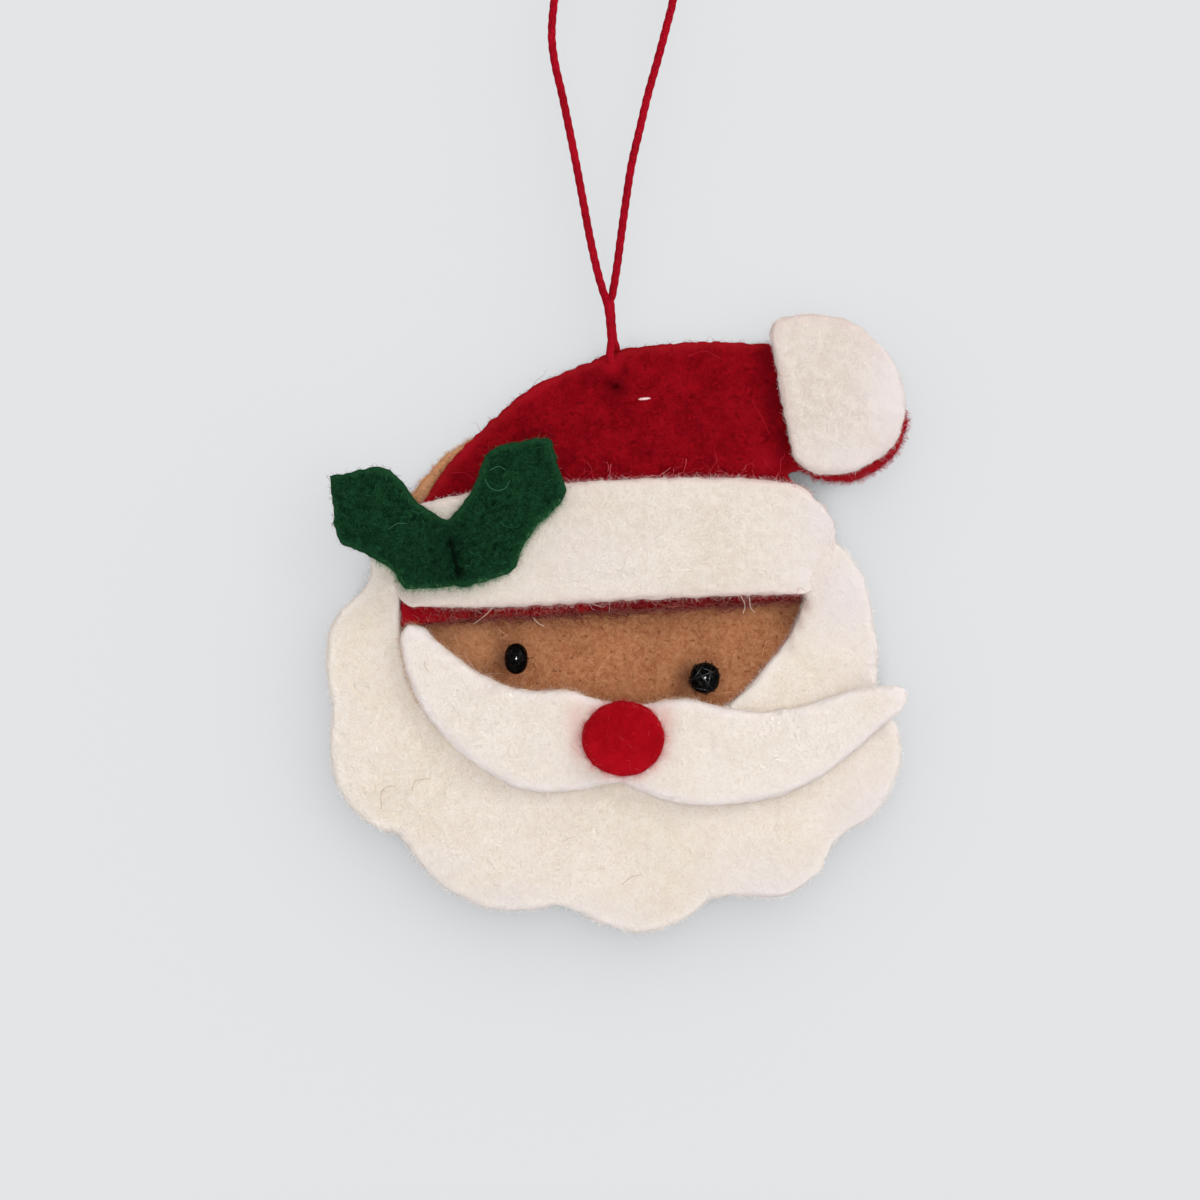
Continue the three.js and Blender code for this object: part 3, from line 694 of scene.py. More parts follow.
def makeFelt(form):
    form = {**feltForm, **form}
    node, seed = form["node"], form["seed"]
    title = form.get("name", node)
    low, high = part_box(node)
    piece = cadCopy(title + "Felt", node)
    even = piece.modifiers.new("even", "REMESH")
    even.mode = "VOXEL"
    even.voxel_size = form["voxel"]
    soft = piece.modifiers.new("soft", "SMOOTH")
    soft.factor = form["softShare"]
    soft.iterations = form["softness"]
    relief = piece.modifiers.new("relief", "NODES")
    relief.node_group = reliefTree
    shift = tuple(seed * step for step in form["seedSteps"])
    setInputs(relief, {**form, "Seed Shift": shift, "Material": feltPaint[form["felt"]]})
    settle(piece)
    bendSheet(piece.data, form, low.y, high.y)
    fuzz = [{**fuzzForm, **form["fuzz"], "Seed": seed}]
    fuzz.append({**strayForm, **form["strays"], "Seed": seed + form["straySeed"]})
    for index, patch in enumerate(form["patches"]):
        left, bottom, right, top = patch["window"]
        lowEnd = onPattern(left, bottom, -form["patchDepth"])
        highEnd = onPattern(right, top, form["patchDepth"])
        ends = {"Window Low": lowEnd, "Window High": highEnd}
        fuzz.append({**fuzzForm, **patch, **ends, "Seed": seed + form["patchSeed"] + index})
    fibres = growFibres(title + "Fuzz", piece, fuzz, form.get("fibres", form["felt"]))
    dress(piece, "ornament", form["slot"], node)
    dress(fibres, "ornament", form["slot"])
    print(title, "felt:", len(piece.data.polygons), "faces,", len(fibres.data.polygons), "in its fuzz")
    return piece


# Camera, square on to the face
cameraView = {
    "distance": 0.8, "across": 0.192, "x": -2.88 * mm, "z": -118.4 * mm, "faceY": -1.5 * mm, "sensor": 36,
}


def makeCamera(view):
    lens = bpy.data.cameras.new("camera")
    lens.sensor_width = view["sensor"]
    lens.lens = view["sensor"] * view["distance"] / view["across"]
    lens.clip_start = 0.01
    camera = bpy.data.objects.new("camera", lens)
    camera.location = (view["x"], view["faceY"] - view["distance"], view["z"])
    camera.rotation_euler = (math.pi / 2, 0, 0)
    scene.collection.objects.link(camera)
    scene.camera = camera


makeCamera(cameraView)
print("camera set")


# Cords and threads
def slide(t, low, high, first, second):  # from the first point at low to the second at high
    return (high - t) / (high - low) * first + (t - low) / (high - low) * second


def smoothLine(points, spacing, fineness=24):  # centripetal curve through the points, in even steps
    points = np.array(points, float)
    ends = [2 * points[0] - points[1], *points, 2 * points[-1] - points[-2]]
    fine = []
    for p0, p1, p2, p3 in zip(ends, ends[1:], ends[2:], ends[3:]):
        t1 = np.linalg.norm(p1 - p0) ** 0.5
        t2 = t1 + np.linalg.norm(p2 - p1) ** 0.5
        t3 = t2 + np.linalg.norm(p3 - p2) ** 0.5
        t = np.linspace(t1, t2, fineness, endpoint=False)[:, None]
        a1, a2, a3 = slide(t, 0, t1, p0, p1), slide(t, t1, t2, p1, p2), slide(t, t2, t3, p2, p3)
        fine.append(slide(t, t1, t2, slide(t, 0, t2, a1, a2), slide(t, t1, t3, a2, a3)))
    fine = np.vstack([*fine, points[-1:]])
    run = np.concatenate([[0], np.cumsum(np.linalg.norm(np.diff(fine, axis=0), axis=1))])
    steps = max(2, int(round(run[-1] / spacing)))
    marks = np.linspace(0, run[-1], steps + 1)
    return np.stack([np.interp(marks, run, fine[:, axis]) for axis in range(3)], axis=1)


def lineLength(points):
    return float(np.linalg.norm(np.diff(points, axis=0), axis=1).sum())


endForm = {
    "blunt": 0.15,  # how flat a rounded end is
    "slip": 0.86,  # an end that slips inside the piece that goes on is this thin
    "slipReach": 0.4,
    "bellyDrop": 0.7,  # how far a strand with a belly thins out beside it
}


# A laid strand: a few plies that turn round each other, swept along a line, with rounded ends
def strand(points, lay, start=0.0, rounded=True):
    sides, plies = lay["sides"], lay["plies"]
    radius = lay["diameter"] / 2
    tangents = np.gradient(points, axis=0)
    tangents /= np.linalg.norm(tangents, axis=1)[:, None]
    side = np.array((0.0, 1.0, 0.0) if abs(tangents[0][1]) < 0.8 else (1.0, 0.0, 0.0))
    run, rings = start, []
    around = np.arange(sides) * 2 * math.pi / sides
    lobes = 1 - lay["groove"] * (0.5 - 0.5 * np.cos(plies * around))
    last = len(points) - 1
    gap = np.linalg.norm(points[1] - points[0])
    for i, (point, along) in enumerate(zip(points, tangents)):
        if i:
            run += np.linalg.norm(point - points[i - 1])
        side = side - along * (side @ along)
        side /= np.linalg.norm(side)
        other = np.cross(along, side)
        turn = around + 2 * math.pi * run / lay["pitch"]
        end = min(i, last - i) * gap / radius
        if rounded:
            taper = math.sqrt(1 - (1 - min(end + endForm["blunt"], 1.0)) ** 2)
        else:
            taper = endForm["slip"] + (1 - endForm["slip"]) * min(end / endForm["slipReach"], 1.0)
        if "belly" in lay:
            taper *= 1 - endForm["bellyDrop"] * min(abs(i - last / 2) * gap / lay["belly"], 1.0) ** 2
        reach = (radius * taper * lobes)[:, None]
        rings.append(point + reach * (np.cos(turn)[:, None] * side + np.sin(turn)[:, None] * other))
    faces = ringFaces(last + 1, sides)
    faces.append(tuple(range(sides))[::-1])
    faces.append(tuple(last * sides + j for j in range(sides)))
    return np.vstack(rings), faces


def strands(name, lines, lay, material, starts=None):  # with starts, a strand goes on from another piece
    vertices, faces = [], []
    for index, line in enumerate(lines):
        rings, skin = strand(line, lay, starts[index] if starts else 0.0, not starts)
        base = sum(len(part) for part in vertices)
        vertices.append(rings)
        faces += [tuple(base + corner for corner in face) for face in skin]
    return newPiece(name, meshOf(name, np.vstack(vertices), faces, material))


cordLay = {
    "diameter": 1.35 * mm, "plies": 3, "sides": 18, "groove": 0.11, "pitch": 5.4 * mm,
    "spacing": 0.2 * mm,
}
neckLay = {**cordLay, "diameter": 1.33 * mm}
# The loop's two sides, from the knot down to where they meet, in mm
leftRoute = [
    (-0.9, 0, 1.3), (-1.2, 0, 0.2), (-2, 0, -1.2), (-3.8, 0, -4.4), (-6.1, 0, -9.6), (-8.2, 0, -14.8),
    (-9.7, 0, -19.6), (-10.4, 0, -24), (-10.6, 0, -28.4), (-10.1, 0, -32.4), (-9, 0, -37.2), (-8, 0, -42),
    (-6.8, 0, -48), (-5.6, 0, -54.4), (-4.4, 0, -60.8), (-3.2, 0, -66.4), (-2.4, 0, -69.8),
]
rightRoute = [
    (0.9, 0, 1.3), (1.2, 0, 0.2), (2.3, 0, -1.2), (4.5, 0, -4.4), (6.9, 0, -9), (8.6, 0, -13.8),
    (9.3, 0, -18.6), (8.8, 0, -22.4), (7.8, 0, -26.4), (6.4, 0, -31.7), (4.8, 0, -37.4), (3.5, 0, -42.9),
    (2.2, 0, -48.5), (1.3, 0, -54.2), (0.5, 0, -60), (-0.2, 0, -65.3), (-0.7, 0, -69.8),
]
neck = {
    "meetX": -1.55, "top": -70.3, "tiltX": -1.3, "tiltZ": -72.0, "lowerTop": -73.91, "swayX": -0.9,
    "swayZ": -76.51,
    "half": 0.6,  # half the spacing of the two strands
    "crossing": (-63.0, -74.0), "turn": 1.3,
}
saddle = {  # the cord sinks into the cap's front on its way to the hole
    "front": [
        (-1.1, -0.95, -77.485), (-1.3, -1.35, -78.835), (-1.2, -1.15, -80.0), (-0.9, -0.5, -81.3),
        (-0.6, 0.0, -82.4),
    ],
    "back": [(-0.2, 1.25, -82.92), (0.0, 1.25, -80.185), (-0.15, 1.13, -78.835), (-0.45, 0.6, -77.485)],
    "turnY": 0.9, "turnRadius": 0.6, "turnX": -0.4, "turnZ": -83.3, "turnSteps": 6,
}
knotForm = {
    "base": 1.6, "width": 4.4, "turns": 2.5, "tailTop": 10.4, "tailSpread": 2.9,
    "turnSteps": 14, "packing": 0.98,
    "tailFoot": 0.5, "tailWaist": (0.7, 3.2), "tailBend": (0.5, 2.6),  # places on the two ends
}
jointSpan = {"twist": (-61.0, -70.2), "tilt": (-70.4, -73.6), "sway": (-74.9, -78.1)}
# Where one piece of cord goes on into the next, in mm
cordCuts = {"top": 2.3, "loopEnd": 0.35, "neckEnd": 1.0, "lap": 0.65}


def neckMiddle(z):  # where the middle of the two strands is at a height
    heights = [-neck["top"], -neck["tiltZ"], -neck["swayZ"]]
    return np.interp(-z, heights, [neck["meetX"], neck["tiltX"], neck["swayX"]])


def crossed(points):  # the left strand comes in front of the right one on its way down the neck
    top, bottom = neck["crossing"]
    made = []
    for x, _, z in points:
        share = min(max((top - z) / (top - bottom), 0), 1)
        turn = neck["turn"] * share * share * (3 - 2 * share)
        middle = neckMiddle(z)
        made.append((middle + (x - middle) * math.cos(turn), (x - middle) * math.sin(turn), z))
    return made


def neckLine(side):  # one strand from the meeting point to the saddle, side -1 left and 1 right
    halfway = (neck["lowerTop"] + neck["swayZ"]) / 2
    levels = [neck["top"], neck["tiltZ"], neck["lowerTop"], halfway, neck["swayZ"]]
    return [(neckMiddle(z) + side * neck["half"], 0, z) for z in levels]


def cutLine(points, high, low):  # the stretch of a falling line between two heights, and where it starts
    z = points[:, 2]
    kept = np.nonzero((z < high * mm) & (z > low * mm))[0]
    return points[kept], lineLength(points[: kept[0] + 1])


def makeCords():
    step, top, lap = cordLay["spacing"], cordCuts["top"], cordCuts["lap"]
    upper = jointSpan["twist"][1] - cordCuts["loopEnd"]
    middle = jointSpan["tilt"][1] - cordCuts["neckEnd"]
    paint = threadPaint["redCotton"]
    left, right = [
        smoothLine(np.array(crossed([(0, 0, top), *route, *neckLine(side)])) * mm, step)
        for side, route in ((-1, leftRoute), (1, rightRoute))
    ]
    sides = [cutLine(line, math.inf, upper)[0] for line in (left, right)]
    loop = strands("loopCord", sides, cordLay, paint, [0.0, 0.0])
    route = np.vstack([sides[0][::-1], sides[1]])
    necks, starts = zip(*[cutLine(line, upper + lap, middle) for line in (left, right)])
    pair = strands("neckCord", necks, neckLay, paint, starts)
    bottom = []
    for i in range(1, saddle["turnSteps"]):
        angle = math.pi * i / saddle["turnSteps"]
        y = saddle["turnY"] - saddle["turnRadius"] * math.cos(angle)
        bottom.append((saddle["turnX"], y, saddle["turnZ"] - saddle["turnRadius"] * math.sin(angle)))
    down, up = [crossed(neckLine(side)[1:]) for side in (-1, 1)]
    through = down + saddle["front"] + bottom + saddle["back"] + up[::-1]
    through = smoothLine(np.array(through) * mm, step)
    saddleLine = through[through[:, 2] < (middle + lap) * mm]
    start = starts[0] + lineLength(necks[0]) - lap * mm
    saddlePiece = strands("saddleCord", [saddleLine], cordLay, paint, [start])
    knot = makeKnot()
    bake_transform(loop)
    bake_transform(pair)
    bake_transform(saddlePiece)
    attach(knot, "loop")
    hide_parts("loop_left_strand", "loop_right_strand")
    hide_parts("neck_upper")
    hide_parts("neck_lower", "cord_saddle")
    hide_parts("loop_knot")
    loopSize, saddleSize = [round(lineLength(line) / mm, 1) for line in (route, saddleLine)]
    print("cords: loop", loopSize, "mm, saddle", saddleSize, "mm")


def makeKnot():  # a coil drawn tight round both sides, with its two ends standing up out of it
    radius = (knotForm["width"] * mm - cordLay["diameter"]) / 2
    base = knotForm["base"] * mm + cordLay["diameter"] / 2
    turns, coil = knotForm["turns"], []
    steps = int(turns * knotForm["turnSteps"])
    for i in range(steps + 1):
        angle = 2 * math.pi * turns * i / steps
        rise = base + cordLay["diameter"] * knotForm["packing"] * turns * i / steps
        coil.append((radius * math.cos(angle), -radius * math.sin(angle), rise))
    top = knotForm["tailTop"] * mm
    spread = knotForm["tailSpread"] * mm
    (waist, rise), (share, drop) = knotForm["tailWaist"], knotForm["tailBend"]
    tail = [
        (knotForm["tailFoot"] * mm, base),
        (waist * mm, base + rise * mm),
        (share * spread, top - drop * mm),
        (spread, top),
    ]
    tails = [[(side * x, 0, z) for x, z in tail] for side in (-1, 1)]
    lines = [smoothLine(line, cordLay["spacing"]) for line in (coil, *tails)]
    return strands("loopKnot", lines, cordLay, threadPaint["redCotton"])


makeCords()

# Felt sheets, from the back to the front
panel = makeFelt({
    "name": "panel", "node": "face_panel", "felt": "tan", "slot": "tan_felt",
    "on": ["hat_glue", "beard_glue"],
    "seed": 1, "Nap Height": 0.24 * mm, "Edge Wobble": 1.2 * mm, "Edge Size": 1.6 * mm,
    "lifts": [(-34, 20, 9, 0.9), (-24, 33, 8, 0.7)],
    "nudges": [
        (-27, 24, 5, 0.3, -0.3), (-18.9, 30.1, 6, 0.8, -1.0), (-11.7, 34.4, 6, 0.4, -0.9),
        (-5.3, 36.8, 5, 0.2, -0.6),
    ],
    "blushes": [
        # painted light on the tan fringe beside the cap and on the face's left side, where the cap and brim
        # shade them
        (-31, 19, 3.5, 5, 0.5), (-26, 25, 5, 4, 0.55), (-17, 31, 6, 3, 0.5), (-25, -6, 6, 4, 0.16),
    ],
    "dents": [(-16.3, -9.4, 3.2, 0.35), (13.9, -12.5, 3.4, 0.4)],
    "smudges": [
        # painted shadow beside the beads, on their left, and painted shade in the face opening's top right
        # corner
        (-18.7, -9.2, 1.7, 2.8, 0.5), (11.0, -12.4, 2.2, 2.8, 0.6), (27.5, -2.4, 3.0, 2.4, 0.35),
    ],
    "fuzz": {"Density": 4e5, "Rim Density": 20e5, "Length": 0.8 * mm},
    "strays": {"Density": 0.35e5, "Rim Density": 0.5e5, "Length": 2.4 * mm, "Thickness": 0.08 * mm},
    "patches": [
        {"window": (-42, 8, -21, 30), **longFuzz, "Rim Density": 100e5, "Length": 0.8 * mm, "paint": "straw"},
    ],
})
hat = makeFelt({
    "node": "hat", "felt": "red", "slot": "red_felt",
    "on": [panel],
    "seed": 2, "Nap Height": 0.2 * mm, "Edge Wobble": 0.9 * mm, "Edge Size": 1.3 * mm, "Glow Reach": 22,
    "dents": [
        (-1.3, 39.4, 1.0, 0.5), (-1.0, 36.9, 1.7, -0.8), (-0.5, 33.9, 1.6, 0.7),
        (-4.0, 36.6, 2.2, -0.5), (2.4, 36.6, 2.2, -0.5),
    ],
    "nudges": [(-28.5, 20.8, 4, 0.1, -0.1)],
    "pinches": [(-0.4, 34.3, 2.8, 0.97)],
    "smudges": [
        # painted shade: in the dimple where the cord goes in and the creases beside it, along the bobble's
        # side, and on the strip under the brim
        (-0.5, 34.0, 1.8, 1.6, 0.75), (-3.0, 36.2, 0.9, 1.8, 0.3), (1.2, 36.2, 0.9, 1.8, 0.3),
        (23.6, 38, 1.5, 4, 0.4), (25.0, 32, 1.6, 5, 0.5), (26.4, 25.5, 1.5, 4, 0.5),
        (4, -1.5, 9, 1.6, 0.4), (18, -0.6, 9, 1.6, 0.5), (29, 0.4, 6, 2.0, 0.6),
    ],
    "blushes": [
        (-1.0, 38.2, 1.8, 1.8, 0.75), (-24, 25, 1.6, 3, 0.4), (-14, 33.5, 5, 1.2, 0.4),
        # the first one here is painted light on the strip's left end
        (-31, -2, 5, 2, 0.5), (24.2, 22.2, 2.6, 2.0, 0.6),
    ],
    "fuzz": {"Density": 4e5, "Rim Density": 26e5, "Thickness": 0.045 * mm, "Length": 0.6 * mm},
    "strays": {"Density": 0.14e5, "Rim Density": 1.2e5, "Length": 2.4 * mm},
    "patches": [
        {"window": (-33, -6, 32, 0.5), **longFuzz, "Density": 30e5, "Length": 1.0 * mm, "paint": "strip"},
        {"window": (-28, -6, 31, 0.5), **curlyHair, "Density": 16e5, "paint": "strip"},
        {"window": (-13, 17, 26, 21.0), **curlyHair, "Density": 8e5, "paint": "rose"},
        {"window": (-13, 17, 26, 22.5), **curlyHair, "Density": 1e5, "paint": "rose"},
        {
            "window": (29, 17, 47, 33), **rimFuzz, "Rim Density": 110e5, "Thickness": 0.08 * mm,
            "paint": "pinkEdge",
        },
    ],
})
beard = makeFelt({
    "node": "beard", "felt": "white", "slot": "white_felt",
    "on": [panel],
    "seed": 3,
    "lifts": [
        (-40, -26, 9, 0.5), (24, -46, 9, 0.5), (42, -24, 8, -0.4), (2, -51, 9, -0.4), (34, 4, 7, 1.1),
        (-35, 4, 5, 0.8),
    ],
    "nudges": [(37, 9, 3, -0.5, -0.6)],
    "Glow Reach": 36,
    "blushes": [
        # painted light: a pinkish tinge towards the right, and paler lower edges
        (37, 1, 7, 8, 0.9), (43, -12, 4.5, 10, 0.8), (42, -35, 8, 9, 0.75), (26, -47, 10, 6, 0.75),
        (-4, -52, 10, 4, 0.6), (-17, -48.5, 8, 4, 0.6), (-29, -42.5, 6, 4, 0.5),
    ],
    "smudges": [  # brown-grey along the face opening just under the brim's end: painted shade, with brown wool rubbed in
        (29.8, -0.9, 1.3, 1.4, 0.75), (28.9, -3.2, 1.1, 2.0, 0.6), (27.6, -6.2, 1.0, 2.2, 0.4),
    ],
    "fuzz": {"Rim Density": 110e5},
    "patches": [
        {
            "window": (30.5, -1, 36, 9), "Density": 60e5, "Length": 1.0 * mm, "Thickness": 0.035 * mm,
            "Lean": 1.25,
        },
    ],
})
brim = makeFelt({
    "node": "brim", "felt": "brim", "Glow Reach": 30, "slot": "white_felt",
    "on": [hat],
    "seed": 4,
    "dents": [(36, 8, 5, 1.8), (33.5, 1.5, 5.5, 2.0), (-34.5, 2.0, 4.5, 1.8)],
    # painted light: the right end as pinkish as the beard beside it
    "blushes": [(33.5, 13, 5, 6, 0.8), (33, 4, 6, 6, 0.8), (-5, 6, 9, 6, 0.35)],
    "Droop": 0.4 * mm,
    "fuzz": {"Rim Density": 50e5, "Length": 0.55 * mm},
    "strays": {"Rim Density": 0.4e5, "Length": 2.4 * mm, "Wave": 3.0 * mm, "Wave Size": 1.6 * mm},
    "patches": [
        {"window": (-30, 16.5, 41, 24), **rimFuzz, "Rim Density": 90e5, "paint": "brimEdge"},
        {"window": (29.5, 9, 41, 16.5), **rimFuzz, "Rim Density": 40e5, "paint": "brimEdge"},
        {"window": (-30, -2.5, 30, 1.5), **rimFuzz, "Rim Density": 70e5, "paint": "brimEdge"},
    ],
})
makeFelt({
    "node": "bobble", "felt": "dull", "fibres": "white", "Glow Reach": 36, "slot": "white_felt",
    "on": [hat],
    "seed": 5, "Droop": 0.3 * mm,
    # painted light: the right side pinkish and pale
    "blushes": [(44, 33, 5, 11, 0.85), (38, 23, 9, 4, 0.6)],
    "fuzz": {"Rim Density": 120e5, "Length": 0.55 * mm},
    "strays": {"Rim Density": 0.2e5},
})
moustache = makeFelt({
    "node": "moustache", "felt": "bright", "fibres": "white", "Glow Reach": 36, "slot": "white_felt",
    "on": [beard],
    "seed": 6, "Droop": 0.75 * mm,
    "lifts": [(44, -15.5, 9, 0.9)],
    "blushes": [  # tan wool rubbed into the edge along the face
        (-28.7, -5.6, 1.3, 1.1, 0.4), (-26.4, -7.9, 1.5, 1.0, 0.4), (-24.0, -9.8, 1.7, 0.9, 0.4),
        (-21.4, -11.5, 1.8, 0.9, 0.4), (-18.6, -12.9, 2.0, 0.8, 0.4), (-15.4, -13.9, 2.2, 0.7, 0.4),
        (-11.8, -14.1, 2.4, 0.7, 0.4), (-8.2, -14.1, 2.2, 0.7, 0.4), (8.2, -15.5, 2.0, 0.7, 0.4),
        (11.6, -15.2, 2.2, 0.7, 0.4), (15.0, -15.9, 2.0, 0.7, 0.4),
    ],
    "fuzz": {"Rim Density": 50e5},
    "strays": {"Rim Density": 0.3e5},
    "patches": [
        {"window": (-36, -17, -3, -3), **rimFuzz, "Rim Density": 90e5, "paint": "tanEdge"},
        {"window": (6, -18, 17, -13), **rimFuzz, "Rim Density": 90e5, "paint": "tanEdge"},
    ],
    "smudges": [  # the nose's dye has rubbed off round it
        (0.8 + 6.5 * math.cos(turn), -22.1 + 5.9 * math.sin(turn), 1.2, 1.2, 0.55)
        for turn in np.arange(16) * math.pi / 8
    ]
    + [
        (-6.6, -19.4, 1.9, 3.4, 0.3), (-6.2, -22.6, 1.5, 3.0, 0.45), (7.4, -19.0, 1.5, 2.6, 0.35),
    ],
})
makeFelt({
    "node": "nose", "felt": "nose", "slot": "nose_felt",
    "on": [moustache],
    "seed": 7, "Lump Height": 0.12 * mm, "Edge Wobble": 0.6 * mm, "Edge Size": 1.3 * mm,
    "Droop": 0.6 * mm,
    "blushes": [(0.8, -27.0, 5, 1.8, 0.6), (-4.5, -24.5, 2, 2.5, 0.4)],
    "fuzz": {"Rim Density": 110e5, "Length": 0.8 * mm},
})
makeFelt({
    "node": "holly", "felt": "green", "slot": "green_felt",
    "on": [brim],
    "seed": 8, "softness": 5, "Nap Height": 0.3 * mm, "Edge Wobble": 0.9 * mm, "Edge Size": 1.8 * mm,
    "lifts": [(-44, 15, 8, 0.7), (-12, 25, 7, 0.5)],
    "dents": [(-26.5, 9.0, 1.3, 0.55), (-26.0, 6.8, 1.3, 0.55), (-25.5, 4.6, 1.3, 0.55)],
    "smudges": [
        # painted shade in the groove along the stitch, and around it
        (-26.6, 9.2, 1.0, 1.3, 0.8), (-26.0, 6.8, 1.0, 1.3, 0.8), (-25.4, 4.4, 1.0, 1.3, 0.8),
        (-27.0, 6.8, 4.0, 5.0, 0.3),
    ],
    "fuzz": {"Density": 6e5, "Rim Density": 30e5, "Length": 0.8 * mm, "Thickness": 0.034 * mm},
    "strays": {"Density": 0.5e5, "Rim Density": 0.5e5, "Length": 1.6 * mm},
    "patches": [
        {"window": (-46, -4, -18, 6.5), **leafHaze, "paint": "leafEdge"},
        {"window": (-22, 6.5, -9, 17.5), **leafHaze, "paint": "leafEdge"},
    ],
})


# Beads and the threads that carry them
beadForm = {"diameter": 5 * mm, "bore": 0.8 * mm, "rings": 56, "sides": 96, "roundness": 0.96, "boreRings": 6}


def makeBead(name, node, body):
    low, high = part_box(node)
    centre, length = (low + high) / 2, high.x - low.x
    radius, bore = beadForm["diameter"] / 2, beadForm["bore"] / 2
    rings, sides, inner = beadForm["rings"], beadForm["sides"], beadForm["boreRings"]
    profile = []
    for i in range(rings + 1):
        angle = math.pi * i / rings
        reach = bore + (radius - bore) * max(math.sin(angle), 0) ** beadForm["roundness"]
        profile.append((-length / 2 * math.cos(angle), reach))
    for i in range(1, inner):
        profile.append((length / 2 - length * i / inner, bore))
    vertices = []
    for x, reach in profile:
        for j in range(sides):
            turn = 2 * math.pi * j / sides
            vertices.append(centre + Vector((x, reach * math.cos(turn), reach * math.sin(turn))))
    piece = newPiece(name, meshOf(name, vertices, ringFaces(len(profile), sides, True), beadPaint))
    work = bmesh.new()
    work.from_mesh(piece.data)
    bmesh.ops.recalc_face_normals(work, faces=work.faces)
    work.to_mesh(piece.data)
    work.free()
    dress(piece, body, "bead", node)


makeBead("leftBead", "left_eye", "left_bead")
makeBead("rightBead", "right_eye", "ornament")
print("beads made")

threadLay = {
    "diameter": 0.4 * mm, "plies": 2, "sides": 10, "groove": 0.25, "pitch": 1.1 * mm, "spacing": 0.08 * mm,
}
eyeLay = {**threadLay, "diameter": 0.24 * mm}
lashLay = {**threadLay, "diameter": 0.22 * mm}
tackLay = {**threadLay, "diameter": 0.5 * mm, "belly": 1.1 * mm}
seamLay = {**threadLay, "diameter": 0.6 * mm}
lashing = {  # each pass: its slant in degrees and how far off the bead's middle it runs, in mm
    "passes": [(20, 0.5), (52, 1.4), (78, -0.7), (131, 0.2), (158, -1.3), (170, 1.7)],
    "lift": 0.17 * mm,
    "backY": 1.2 * mm,
    "steps": 6,  # from the front of an arc to its end
}
eyeForm = {
    "tuck": -0.12 * mm,  # how far the thread's middle stands out past a bead's ends
    "bend": 0.3 * mm,
    "end": 0.3 * mm,  # how far short of the bead's middle the ends stop, inside the panel
    "cover": 0.2 * mm,  # felt left behind them
}
# How far a stitch lies inside its node, rounds its ends, falls there and bows out between them
stitchForm = {"inset": 0.2 * mm, "corner": 0.35 * mm, "fall": 0.4 * mm, "bow": 0.1 * mm}


def threadLine(node, bead):  # through the bead's bore and straight back into the panel on both sides
    beadLow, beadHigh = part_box(bead)
    middle = (beadLow + beadHigh) / 2
    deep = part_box(node)[1].y - eyeForm["cover"]
    bend, halves = eyeForm["bend"], []
    for way, x in ((1, beadLow.x - eyeForm["tuck"]), (-1, beadHigh.x + eyeForm["tuck"])):
        inner = x + way * bend
        half = [(middle.x - way * eyeForm["end"], deep), (inner, deep), (x, deep - bend)]
        halves.append(half + [(x, middle.y + bend), (inner, middle.y)])
    return [(x, y, middle.z) for x, y in halves[0] + halves[1][::-1]]


def lashLines():  # extra passes of thread over the right bead, crossing each other and drawn tight
    low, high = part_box("right_eye")
    centre, half = (low + high) / 2, (high.x - low.x) / 2
    radius, steps = beadForm["diameter"] / 2, lashing["steps"]
    lines = []
    for slant, aside in lashing["passes"]:
        along = Vector((math.cos(math.radians(slant)), 0, math.sin(math.radians(slant))))
        across = Vector((-along.z, 0, along.x)) * aside * mm
        reach = math.sqrt(radius**2 - (aside * mm) ** 2)
        arc = []
        for i in range(-steps, steps + 1):
            turn = math.pi / 2 * i / steps
            spot = across + along * reach * math.sin(turn) + Vector((0, -reach * math.cos(turn), 0))
            spot *= 1 + lashing["lift"] / radius
            arc.append(centre + Vector((spot.x * half / radius, spot.y, spot.z)))
        ends = [Vector((arc[k].x, lashing["backY"], arc[k].z)) for k in (0, -1)]
        line = [ends[0], *arc, ends[1]]
        lines.append(smoothLine([tuple(spot) for spot in line], lashLay["spacing"]))
    return lines


def makeEyeThread(name, node, bead):
    lines = [smoothLine(threadLine(node, bead), eyeLay["spacing"])]
    dress(strands(name, lines, eyeLay, threadPaint["blackThread"]), "ornament", "dark_thread", node)


makeEyeThread("leftThread", "left_eye_thread", "left_eye")
makeEyeThread("rightThread", "right_eye_thread", "right_eye")
dress(
    strands("rightThreadLashing", lashLines(), lashLay, threadPaint["lashThread"]),
    "ornament",
    "dark_thread",
)


def makeStitch(name, node, ends, slot, paint, lay, sunk):
    low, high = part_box(node)
    front, deep, fall = low.y + stitchForm["inset"] + sunk, high.y, stitchForm["fall"]
    (x0, _, z0), (x1, _, z1) = onPattern(*ends[0]), onPattern(*ends[1])
    step = Vector((x1 - x0, 0, z1 - z0)).normalized() * stitchForm["corner"]
    line = [
        (x0, deep, z0),
        (x0, front + fall, z0),
        (x0 + step.x, front, z0 + step.z),
        ((x0 + x1) / 2, front - stitchForm["bow"], (z0 + z1) / 2),
        (x1 - step.x, front, z1 - step.z),
        (x1, front + fall, z1),
        (x1, deep, z1),
    ]
    piece = strands(name, [smoothLine(line, lay["spacing"])], lay, threadPaint[paint])
    dress(piece, "ornament", slot, node)


hatEnds, hollyEnds = [(3.2, 32.1), (5.3, 32.3)], [(-26.7, 9.9), (-25.3, 3.7)]
makeStitch("hatStitch", "hat_stitch", hatEnds, "pale_thread", "paleGlintThread", tackLay, 0.1 * mm)
makeStitch("hollyStitch", "holly_stitch", hollyEnds, "dark_thread", "seamThread", seamLay, 0.7 * mm)
for node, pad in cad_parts.items():
    if node.endswith("_glue"):
        pad.data.materials.clear()
        pad.data.materials.append(gluePaint)
print("threads, stitches and glue done")


